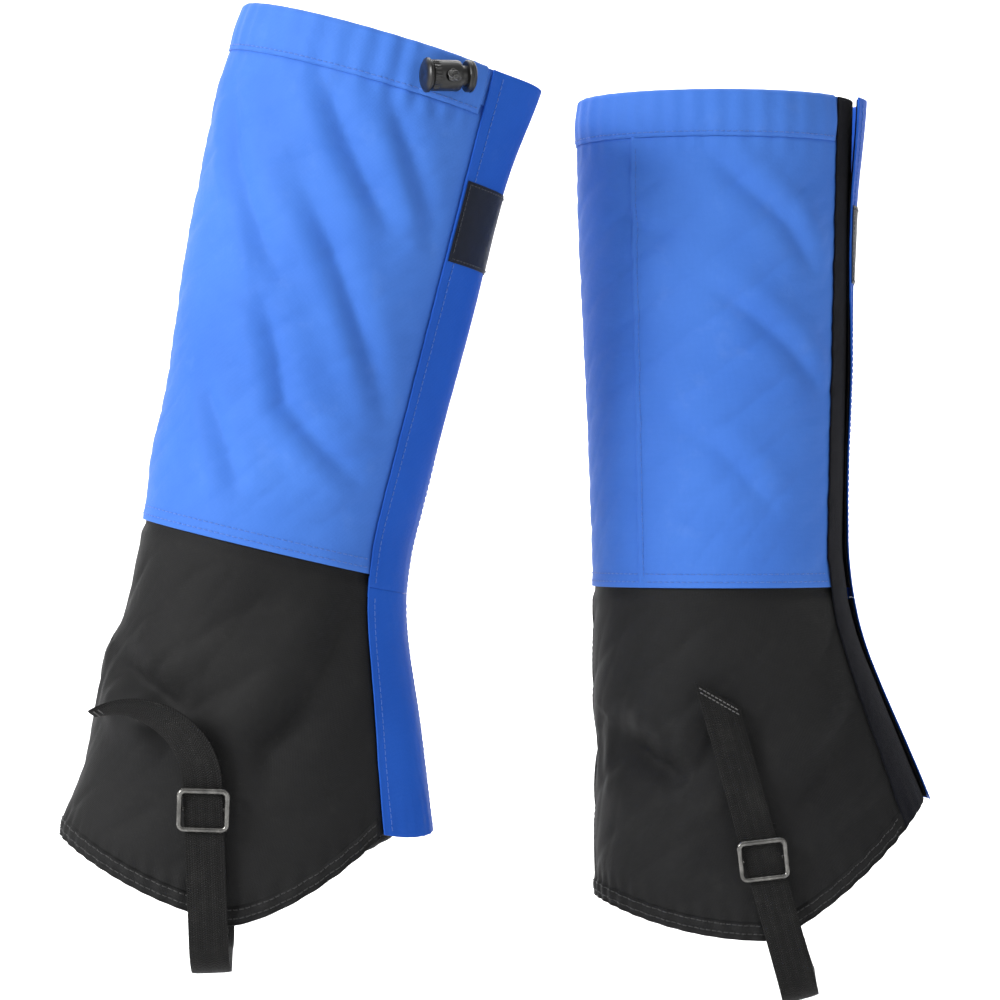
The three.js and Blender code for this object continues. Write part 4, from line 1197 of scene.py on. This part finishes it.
def strap(gaiter, paint):
    stations = strap_stations(gaiter)
    piece = ribbon(gaiter, "strap_webbing", stations, WEBBING_WIDTH, WEBBING_THICKNESS, paint["webbing"])
    finish_piece(gaiter, piece, "strap", "instep_strap")
    ends = (("outer", stations[:6]), ("inner", stations[-6:][::-1]))
    for where, run in ends:
        for row, inset in enumerate((2.2, 4.6)):
            centre, across, face, shear = run[0]
            along = np.cross(face, across)
            toward = run[3][0] - centre
            toward = toward / np.linalg.norm(toward)
            up = along if np.dot(along, ALONG) > 0 else -along
            line = []
            for edge in np.linspace(-0.86, 0.86, 12):
                line.append(
                    centre + across * edge * WEBBING_WIDTH / 2 - up * edge * shear / 2 + toward * inset
                    + face * WEBBING_THICKNESS / 2
                )
            stitches(
                gaiter, f"{where}_tail_stitches_{row + 1}", line, [face] * len(line), paint["pale_thread"],
                "strap", pitch=2.3, length=1.7,
            )


def slider_matrix(gaiter, slider, direction):
    """A frame on the panel at a slider: x across the strap, y up along it, z out of the panel."""
    outward = Vector((0, direction, 0))
    up = Vector(ALONG)
    up.rotate(Matrix.Rotation(gaiter.slider_turn, 3, "Y"))
    across = up.cross(outward)
    place = np.eye(4)
    place[:3, 0] = across
    place[:3, 1] = up
    place[:3, 2] = outward
    place[:3, 3] = (slider[0], direction * PANEL_FACE, slider[1])
    return place


def placed(place, points):
    points = np.asarray(points, float)
    return points @ place[:3, :3].T + place[:3, 3]


def rounded_rectangle(width, height, radius, steps=9):
    points = []
    for corner, (sx, sy) in enumerate(((1, -1), (1, 1), (-1, 1), (-1, -1))):
        start = -90 + 90 * corner
        for turn in np.radians(np.linspace(start, start + 90, steps)):
            points.append((
                sx * (width / 2 - radius) + radius * math.cos(turn),
                sy * (height / 2 - radius) + radius * math.sin(turn),
            ))
    return np.array(points)


def slider(gaiter, where, slider_place, direction, paint):
    """A cast frame with a thicker top bar, and the bar behind it that the tab holds."""
    place = slider_matrix(gaiter, slider_place, direction)
    outline = rounded_rectangle(SLIDER_WIDTH - WIRE, SLIDER_HEIGHT - WIRE, 2.6)
    dense = []
    for a, b in zip(outline, np.roll(outline, -1, axis=0)):
        count = max(1, int(np.linalg.norm(b - a) / 1.2))
        dense += [a + (b - a) * k / count for k in range(count)]
    dense = np.array(dense)
    path = np.column_stack([dense, np.full(len(dense), FRAME_LIFT)])
    thick = WIRE / 2 * (1 + 0.22 * smooth(SLIDER_HEIGHT * 0.2, SLIDER_HEIGHT * 0.42, dense[:, 1]))
    ring = tube(gaiter, f"{where}_slider_frame", placed(place, path), thick, paint["metal"], 16, closed=True)
    finish_piece(gaiter, ring, "gaiter", f"{where}_slider")
    reach = (SLIDER_WIDTH - WIRE) / 2
    route = [(-reach, 0, FRAME_LIFT - 0.4)]
    for turn in np.radians(np.linspace(0, 90, 6)):
        x = reach - BAR_CORNER * (1 - math.cos(turn))
        route.append((-x, 0, BAR_LIFT + BAR_CORNER - BAR_CORNER * math.sin(turn)))
    for x in np.linspace(-reach + 2, reach - 2, 9):
        route.append((x, 0, BAR_LIFT))
    for turn in np.radians(np.linspace(90, 0, 6)):
        x = reach - BAR_CORNER * (1 - math.cos(turn))
        route.append((x, 0, BAR_LIFT + BAR_CORNER - BAR_CORNER * math.sin(turn)))
    route.append((reach, 0, FRAME_LIFT - 0.4))
    bar = tube(gaiter, f"{where}_slider_bar", placed(place, route), BAR_RADIUS, paint["metal"], 12)
    finish_piece(gaiter, bar, "gaiter")


def slider_tab(gaiter, where, slider_place, direction, paint):
    """Webbing folded round the slider's bar, both layers sewn to the panel above it."""
    place = slider_matrix(gaiter, slider_place, direction)
    ring = BAR_RADIUS + GAP + TAPE / 2
    path = [(TAB_TOP, GAP + TAPE / 2)]
    path += [(y, GAP + TAPE / 2) for y in np.linspace(14, 2, 6)]
    for turn in np.radians(np.linspace(-90, -300, 16)):
        path.append((ring * math.cos(turn), BAR_LIFT + ring * math.sin(turn)))
    path += [(y, GAP + 1.55 * TAPE) for y in np.linspace(3.2, TAB_TOP, 8)]
    points = np.array(path)
    tangent = np.gradient(points, axis=0)
    tangent /= np.linalg.norm(tangent, axis=1, keepdims=True)
    stations = []
    for (y, z), (ty, tz) in zip(points, tangent):
        centre = placed(place, [(0, y, z)])[0]
        face = place[:3, 1] * -tz + place[:3, 2] * ty
        stations.append((centre, place[:3, 0], face, 0.0))
    piece = ribbon(gaiter, f"{where}_tab_webbing", stations, TAB_WIDTH, TAPE * 0.95, paint["webbing"])
    finish_piece(gaiter, piece, "gaiter", f"{where}_slider_tab")
    box = [(-6.5, 5), (6.5, 5), (6.5, 14.5), (-6.5, 14.5), (-6.5, 5), (6.5, 14.5)]
    line = placed(place, [(x, y, GAP + 2.02 * TAPE) for x, y in box])
    normals = [place[:3, 2]] * len(line)
    stitches(gaiter, f"{where}_tab_stitches", line, normals, paint["black_thread"], "gaiter", 2.4, 1.8)


# ---------------------------------------------------------------- drawcord, eyelet and cord lock

def outward_at_eyelet(gaiter):
    turn = math.radians(EYELET_ANGLE)
    half_length, half_width, _ = (float(v) for v in wall_oval(float(EYELET_ANGLE), float(EYELET_HEIGHT)))
    normal = np.array([math.cos(turn) * half_width, gaiter.side * math.sin(turn) * half_length, 0])
    return normal / np.linalg.norm(normal)


def lock_matrix(gaiter, lift):
    """x towards the front along the barrel, z out of the wall, at the cord's hole."""
    lock = joints[f"{gaiter.name}_lock_swivel"]
    plunger = joints[f"{gaiter.name}_plunger_press"]
    back = gaiter.to_row.inverted()
    outward = (back.to_3x3() @ Vector(lock["axis"])).normalized()
    forward = (back.to_3x3() @ -Vector(plunger["axis"])).normalized()
    origin = back @ Vector(lock["pos_m"])
    place = np.eye(4)
    place[:3, 0] = forward
    place[:3, 1] = outward.cross(forward)
    place[:3, 2] = outward
    place[:3, 3] = origin + outward * (lift - LOCK_LIFT)
    return place


def drawcord(gaiter, paint):
    """From its sewn end round the channel, out of the eyelet, through the lock and into its knot."""
    outward = outward_at_eyelet(gaiter)
    back = gaiter.side * np.array([-outward[1], outward[0], 0])
    angles = degrees_between(COLLAR_TO - 2, EYELET_ANGLE + 9, 3)
    channel = wall(gaiter, angles, EYELET_HEIGHT, CORD_OFFSET)
    base = wall(gaiter, EYELET_ANGLE, EYELET_HEIGHT, 0.0, relief=False)
    turn_radius = 2.5
    bend = []
    for turn in np.radians(np.linspace(0, 90, 8)):
        bend.append(base + outward * (CORD_OFFSET + turn_radius * (1 - math.cos(turn)))
                    + back * turn_radius * (1 - math.sin(turn)))
    stem_lifts = np.linspace(CORD_OFFSET + turn_radius + 1.5, KNOT_LIFT - 1.2, 9)
    stem = [base + outward * lift for lift in stem_lifts]
    path = np.array([*channel, *bend, *stem])
    cord = tube(gaiter, "drawcord_braid", path, CORD_RADIUS, paint["cord"], 14)
    finish_piece(gaiter, cord, "gaiter", "drawcord")

    place = lock_matrix(gaiter, KNOT_LIFT)
    loop = []
    for t in np.linspace(0, 2 * math.pi, 72, endpoint=False):
        loop.append((
            0.62 * (math.sin(t) + 2 * math.sin(2 * t)),
            0.62 * (math.cos(t) - 2 * math.cos(2 * t)),
            -0.75 * math.sin(3 * t),
        ))
    knot = tube(gaiter, "drawcord_knot", placed(place, loop), 1.12, paint["cord"], 12, closed=True)
    finish_piece(gaiter, knot, "gaiter")
    tail = [(0.4, -0.6, 0.6), (0.9, -1.2, 1.4), (1.5, -1.5, 2.3), (1.9, -1.5, 3.3)]
    end = tube(gaiter, "drawcord_end", placed(place, tail), (1.2, 1.25, 1.3, 1.15), paint["cord"], 12)
    finish_piece(gaiter, end, "gaiter")


def eyelet(gaiter, paint):
    place = np.eye(4)
    outward = outward_at_eyelet(gaiter)
    forward = gaiter.side * np.array([outward[1], -outward[0], 0])
    place[:3, 0] = outward
    place[:3, 1] = forward
    place[:3, 2] = np.cross(outward, forward)
    place[:3, 3] = wall(gaiter, EYELET_ANGLE, EYELET_HEIGHT, 0.0, relief=False)
    face = CLOTH + GAP + CLOTH + GAP
    profile = [(1.6, 2.8), (face - 0.1, 2.8), (face, 3.1), (face, 4.5)]
    for turn in np.radians(np.linspace(-60, 200, 12)):
        middle, reach = (3.45, 1.1) if turn < math.pi / 2 - 0.001 else (3.3, 1.0)
        profile.append((face + 0.4 + 0.45 * math.sin(turn), middle + reach * math.cos(turn)))
    profile += [(face - 0.2, 2.1), (1.6, 2.1)]
    ring = lathe(gaiter, "eyelet_ring", profile, place, paint["metal"], 48)
    finish_piece(gaiter, ring, "gaiter", "eyelet")


def cord_lock(gaiter, paint):
    """A ribbed barrel with a flanged end, and the plunger whose head stands out of its mouth."""
    place = lock_matrix(gaiter, LOCK_LIFT)
    mouth, end = 6.0, -12.0
    barrel = [
        (end + 0.3, 0.4, 0), (end, 1.2, 0), (end, 6.2, 0), (end + 0.25, 6.8, 0), (end + 1.1, 8.2, 0),
        (end + 1.4, 8.4, 0), (end + 2.2, 8.4, 0), (end + 2.5, 8.2, 0), (end + 3.0, 7.0, 0),
        (end + 3.4, 6.9, 0), (end + 3.8, BARREL_RADIUS, 0.4), (end + 5, BARREL_RADIUS, 1),
        (-5.6, BARREL_RADIUS, 1), (-5.0, BARREL_RADIUS, 0.4), (-4.6, BARREL_RADIUS, 0),
        (4.4, BARREL_RADIUS, 0), (4.9, BARREL_RADIUS, 0.3), (5.4, 7.4, 0.3), (mouth - 0.1, 7.1, 0),
        (mouth, 6.8, 0), (mouth, 5.5, 0), (mouth - 0.2, BORE_RADIUS, 0), (-7.6, BORE_RADIUS, 0),
        (-7.6, 0.4, 0),
    ]
    body = lathe(gaiter, "lock_barrel_shell", barrel, place, paint["plastic"], 96, ribs=28, rib_depth=0.55)
    cutters = []
    for radius, low, high in ((1.95, -12, 12), (3.15, 5.9, 12)):
        turns = 2 * math.pi * np.arange(32) / 32
        rings = [[(radius * math.cos(t), radius * math.sin(t), z) for t in turns] for z in (low, high)]
        faces = grid_faces(2, 32, closed=True) + [tuple(range(32))[::-1], tuple(range(32, 64))]
        cutter = new_object("cutter", to_row(gaiter, placed(place, np.reshape(rings, (-1, 3)))), faces)
        outward_normals(cutter)
        cutters.append(cutter)
    outward_normals(body)
    carve(body, cutters, paint["plastic"])
    finish_piece(gaiter, body, "cord_lock", "lock_barrel")
    head = mouth + 3.3
    plunger = [
        (head - 13.0, 0.4), (head - 13.0, 4.3), (head - 12.6, 4.8), (head - 12.2, 5.0), (head, 5.0),
        (head, 6.9),
        (head + 0.2, 7.4), (head + 0.7, 7.75), (head + 1.2, 7.8), (head + 1.9, 7.5), (head + 2.4, 7.8),
        (head + 3.0, 7.75), (head + 3.5, 7.3), (head + 3.9, 6.6), (head + 4.0, 6.0), (head + 3.7, 5.4),
        (head + 3.4, 4.8), (head + 3.4, 0.4),
    ]
    shaft = lathe(gaiter, "lock_plunger_body", plunger, place, paint["plastic"], 72)
    outward_normals(shaft)
    slot = []
    for x in (-1.95, 4.95):
        slot += [(x, y, z) for y, z in ((-1.85, -12), (1.85, -12), (1.85, 12), (-1.85, 12))]
    cutter = new_object("cutter", to_row(gaiter, placed(place, slot)), [
        (0, 1, 2, 3), (7, 6, 5, 4), (0, 4, 5, 1), (1, 5, 6, 2), (2, 6, 7, 3), (3, 7, 4, 0),
    ])
    outward_normals(cutter)
    carve(shaft, [cutter], paint["plastic"])
    finish_piece(gaiter, shaft, "lock_plunger", "lock_plunger")


def carve(piece, cutters, material):
    """Cuts the cutters out of the piece for good, and removes them."""
    for cutter in cutters:
        cut = piece.modifiers.new("cut", "BOOLEAN")
        cut.operation = "DIFFERENCE"
        cut.solver = "EXACT"
        cut.object = cutter
    bpy.context.view_layer.update()
    result = bpy.data.meshes.new_from_object(piece.evaluated_get(bpy.context.evaluated_depsgraph_get()))
    piece.modifiers.clear()
    piece.data = result
    if not result.materials:
        result.materials.append(material)
    for cutter in cutters:
        bpy.data.objects.remove(cutter)
    if "sharp_edge" in result.attributes:
        result.attributes.remove(result.attributes["sharp_edge"])
    shade_by_angle(piece, 35)


# ---------------------------------------------------------------- seams

def seams(gaiter, paint):
    """Stitch runs: under the collar, over the panel seam, at the hem, up the back and along the flap."""
    round_leg = np.linspace(COLLAR_FROM + 1, COLLAR_TO - 1, 400)
    lift = collar_lift(round_leg, 2.4 / (COLLAR_HEIGHT - 3))
    points, normals = wall_line(gaiter, round_leg, COLLAR_BOTTOM + 2.4, lift)
    stitches(gaiter, "collar_stitches", points, normals, paint["blue_thread"], "gaiter")
    round_leg = np.linspace(FLAP_SEAM + 1, TAPE_FROM - 1, 400)
    for row, above in enumerate((3.0, 7.0)):
        points, normals = wall_line(
            gaiter, round_leg, PANEL_SEAM_HEIGHT + above,
            CLOTH + FOLD * float(smooth(9, 2, above)) - 0.02,
        )
        stitches(gaiter, f"panel_seam_stitches_{row + 1}", points, normals, paint["blue_thread"], "gaiter")
    angles = np.linspace(FLAP_SEAM + 2, TAPE_FROM - 1, 500)
    for row, above in enumerate((2.6, 6.8)):
        rise = above + HEM_FOLD
        points, normals = wall_line(gaiter, angles, hem_height(angles) + rise, CLOTH + 0.62)
        stitches(gaiter, f"hem_stitches_{row + 1}", points, normals, paint["black_thread"], "gaiter")
    heights = np.linspace(PANEL_SEAM_HEIGHT + 2, COLLAR_BOTTOM - 3, 260)
    points, normals = wall_line(gaiter, BACK_SEAM + 2.4, heights, CLOTH + 0.45)
    stitches(gaiter, "back_seam_stitches", points, normals, paint["blue_thread"], "gaiter")
    heights = np.linspace(float(hem_height(HEEL_SEAM)) + 10, PANEL_SEAM_HEIGHT - 4, 160)
    points, normals = wall_line(gaiter, HEEL_SEAM + 2.6, heights, CLOTH + 0.1)
    stitches(gaiter, "heel_seam_stitches", points, normals, paint["black_thread"], "gaiter")
    for name, low, high, body in (
        ("flap_upper_stitches", above_bend, flap_top, "flap_upper"),
        ("flap_lower_stitches", flap_low, below_bend, "flap_lower"),
    ):
        flap_line(gaiter, name, low, high, 0.09, body, paint["blue_thread"])
        edge_name = name.replace("stitches", "edge_stitches")
        flap_line(gaiter, edge_name, low, high, 0.91, body, paint["blue_thread"])
    label_stitches(gaiter, paint)


def flap_line(gaiter, name, low, high, share, body, thread_paint):
    grid = flap_grid(gaiter, lambda a: low(a) + 2, lambda a: high(a) - 2, 160, 0.02, columns=45)
    column = int(round(share * 44))
    above = flap_grid(gaiter, lambda a: low(a) + 2, lambda a: high(a) - 2, 160, 1.02, columns=45)
    normals = above[:, column] - grid[:, column]
    normals /= np.linalg.norm(normals, axis=1, keepdims=True)
    stitches(gaiter, name, grid[:, column], normals, thread_paint, body)


def label_stitches(gaiter, paint):
    def border(lift):
        low = level(LABEL_TOP - LABEL_HEIGHT + LABEL_STITCH_INSET)
        high = level(LABEL_TOP - LABEL_STITCH_INSET)
        grid = flap_grid(gaiter, low, high, 30, 0.6 + lift, FLAP_SEAM - EDGE - 1.5, 2.5, 45)
        return np.concatenate([grid[0], grid[1:, -1], grid[-1, -2::-1], grid[-2:0:-1, 0]])
    line = border(0.0)
    normals = border(1.0) - line
    normals /= np.linalg.norm(normals, axis=1, keepdims=True)
    stitches(gaiter, "label_stitches", line, normals, paint["label_thread"], "flap_upper", 2.6, 1.9)


# ---------------------------------------------------------------- one gaiter

def dress(gaiter, paint):
    upper_panel(gaiter, "upper_outer_cloth", FLAP_SEAM - 4, BACK_SEAM, "upper_outer_panel", paint)
    upper_panel(gaiter, "upper_inner_cloth", BACK_SEAM, PANEL_FRONT, "upper_inner_panel", paint)
    front_edge_panel(gaiter, "outer_front_edge", FLAP_SEAM - 4, COLLAR_FROM - 0.4, paint)
    front_edge_panel(gaiter, "inner_front_edge", COLLAR_TO + 0.4, PANEL_FRONT, paint)
    lower_panel(gaiter, "lower_outer_cloth", FLAP_SEAM - 4, HEEL_SEAM, "lower_outer_panel", paint)
    lower_panel(gaiter, "lower_inner_cloth", HEEL_SEAM, PANEL_FRONT, "lower_inner_panel", paint)
    hem_band(gaiter, paint)
    collar_band(gaiter, paint)
    ankle_elastic(gaiter, paint)
    tape_strip(
        gaiter, "loop_tape_pile", TAPE_FROM, TAPE_TO, lambda a: hem_height(a) + EDGE, RIM_HEIGHT - EDGE,
        lambda a, h: CLOTH + GAP + TAPE + 0.45 * smooth(PANEL_SEAM_HEIGHT - 8, PANEL_SEAM_HEIGHT, h)
        * smooth(PANEL_SEAM_HEIGHT + 16, PANEL_SEAM_HEIGHT + 8, h),
        "gaiter", "loop_tape", paint, 150,
    )
    flap(gaiter, paint)
    strap(gaiter, paint)
    for where, place, direction in (
        ("outer", OUTER_SLIDER, gaiter.side), ("inner", INNER_SLIDER, -gaiter.side),
    ):
        slider(gaiter, where, place, direction, paint)
        slider_tab(gaiter, where, place, direction, paint)
    drawcord(gaiter, paint)
    eyelet(gaiter, paint)
    cord_lock(gaiter, paint)
    seams(gaiter, paint)


# ---------------------------------------------------------------- camera, light, floor

VIEW_WIDTH = 0.522     # metres across the picture at the far gaiter's middle
VIEW_DISTANCE = 1.8
AIM = Vector((-0.114, 0, 0.2558))  # metres from the far gaiter's origin to the picture's middle


def add_camera(far_gaiter):
    data = bpy.data.cameras.new("camera")
    data.sensor_width = 36
    data.lens = data.sensor_width * VIEW_DISTANCE / VIEW_WIDTH
    data.clip_end = 50
    camera = bpy.data.objects.new("camera", data)
    camera.location = far_gaiter.to_row.translation + AIM - Vector((0, VIEW_DISTANCE, 0))
    camera.rotation_euler = (math.radians(90), 0, 0)
    bpy.context.scene.collection.objects.link(camera)
    bpy.context.scene.camera = camera


def area_light(name, place, size, power, target=(0, 0, 0.25), colour=(1, 1, 1)):
    data = bpy.data.lights.new(name, "AREA")
    data.shape = "RECTANGLE"
    data.size, data.size_y = size
    data.energy = power
    data.color = colour
    lamp = bpy.data.objects.new(name, data)
    lamp.location = place
    lamp.rotation_euler = (Vector(target) - Vector(place)).to_track_quat("-Z", "Y").to_euler()
    bpy.context.scene.collection.objects.link(lamp)


def add_studio():
    """A pale floor that sweeps up behind the object, and large soft lights."""
    floor_height = cad_box[0].z - 0.03
    radius = 0.9
    wall_y = 2.6
    profile = [(-3.5, 0.0)]
    for turn in np.radians(np.linspace(0, 90, 16)):
        profile.append((wall_y - radius + radius * math.sin(turn), radius * (1 - math.cos(turn))))
    profile.append((wall_y, 3.5))
    vertices = [(x, y, floor_height + z) for y, z in profile for x in (-4.0, 4.0)]
    sweep = new_object("studio_sweep", vertices, grid_faces(len(profile), 2))
    n = Nodes("studio_paper")
    shade = n.ramp(n.noise(3, 2), (0.0, (0.93, 0.93, 0.935)), (1.0, (0.95, 0.95, 0.95)))
    n.set(Base_Color=shade, Roughness=0.9)
    sweep.data.materials.append(n.material)
    world = bpy.data.worlds.new("studio")
    world.use_nodes = True
    background = world.node_tree.nodes["Background"]
    background.inputs["Color"].default_value = (1.0, 1.0, 1.0, 1)
    background.inputs["Strength"].default_value = 0.42
    bpy.context.scene.world = world
    area_light("key", (-1.7, -1.3, 1.1), (0.8, 0.8), 46)
    area_light("fill", (1.4, -1.9, 0.5), (1.2, 1.4), 8)
    area_light("top", (-0.3, 0.2, 2.0), (1.4, 1.4), 10)
    area_light("backdrop", (0.0, 0.9, 1.9), (3.0, 0.8), 90, target=(0, 2.6, 0.3))
    bpy.context.scene.view_settings.view_transform = "Standard"


# ---------------------------------------------------------------- everything

# How far the heel side swells at each height.
LEFT_BULGES = (
    (44, 0), (120, 0), (150, 0.5), (215, 0), (293, 0.8), (345, 2), (400, 3.2), (440, 3), (480, 0.5),
)
RIGHT_BULGES = (
    (40, 5), (58, 6.5), (76, 2.2), (100, 1.5), (124, 4.8), (143, 4.6), (158, -1), (175, -1.6), (211, 0),
    (245, 3.6), (275, 2.4), (346, 7.4), (425, 8.6), (445, 5.2), (480, 3.0),
)
# Each crease runs through places given by angle and height, and has a depth and a width.
LEFT_CREASES = (
    (((262, 433), (283, 412), (300, 396), (318, 368)), 2.6, 5.0),
    (((262, 366), (284, 349), (301, 334), (324, 308)), 2.4, 5.0),
    (((222, 404), (237, 391), (252, 392)), 1.6, 5.5),
    (((240, 300), (268, 282), (298, 246)), 1.5, 5.5),
    (((212, 136), (226, 125), (248, 112)), 7.0, 9.0),
    (((258, 76), (296, 108), (330, 152)), 3.4, 7.5),
    (((270, 66), (300, 84), (330, 108)), 1.8, 5.5),
)
RIGHT_CREASES = (
    (((155, 428), (140, 390), (121, 357), (104, 334)), 2.8, 5.0),
    (((113, 440), (96, 412), (82, 392), (66, 372)), 3.0, 5.0),
    (((83, 437), (68, 412), (54, 387), (46, 366)), 2.4, 4.5),
    (((111, 389), (91, 361), (77, 336), (67, 318), (46, 280)), 3.0, 5.0),
    (((118, 336), (103, 305), (95, 282), (77, 267), (50, 250)), 2.8, 5.0),
    (((137, 288), (115, 253), (104, 231)), 2.2, 5.0),
    (((44, 199), (62, 156), (91, 92)), 4.2, 8.0),
    (((62, 152), (91, 106)), 2.0, 5.5),
    (((156, 143), (136, 134), (112, 126)), 6.0, 8.0),
)

left = Gaiter(
    "left", side=1, curled=False, take_up=0, seed=1.0, bulges=LEFT_BULGES, creases=LEFT_CREASES,
    rim_rise=0, front_sag=0, slider_turn=9,
)
right = Gaiter(
    "right", side=-1, curled=True, take_up=9, seed=4.2, bulges=RIGHT_BULGES, creases=RIGHT_CREASES,
    rim_rise=7, front_sag=11, slider_turn=4,
)
add_camera(left)
add_studio()
paint = make_materials()
for one in (left, right):
    dress(one, paint)
    for material_slot in frame["nodes"][f"{one.name}_lock_spring"].material_slots:
        material_slot.material = paint["steel"]
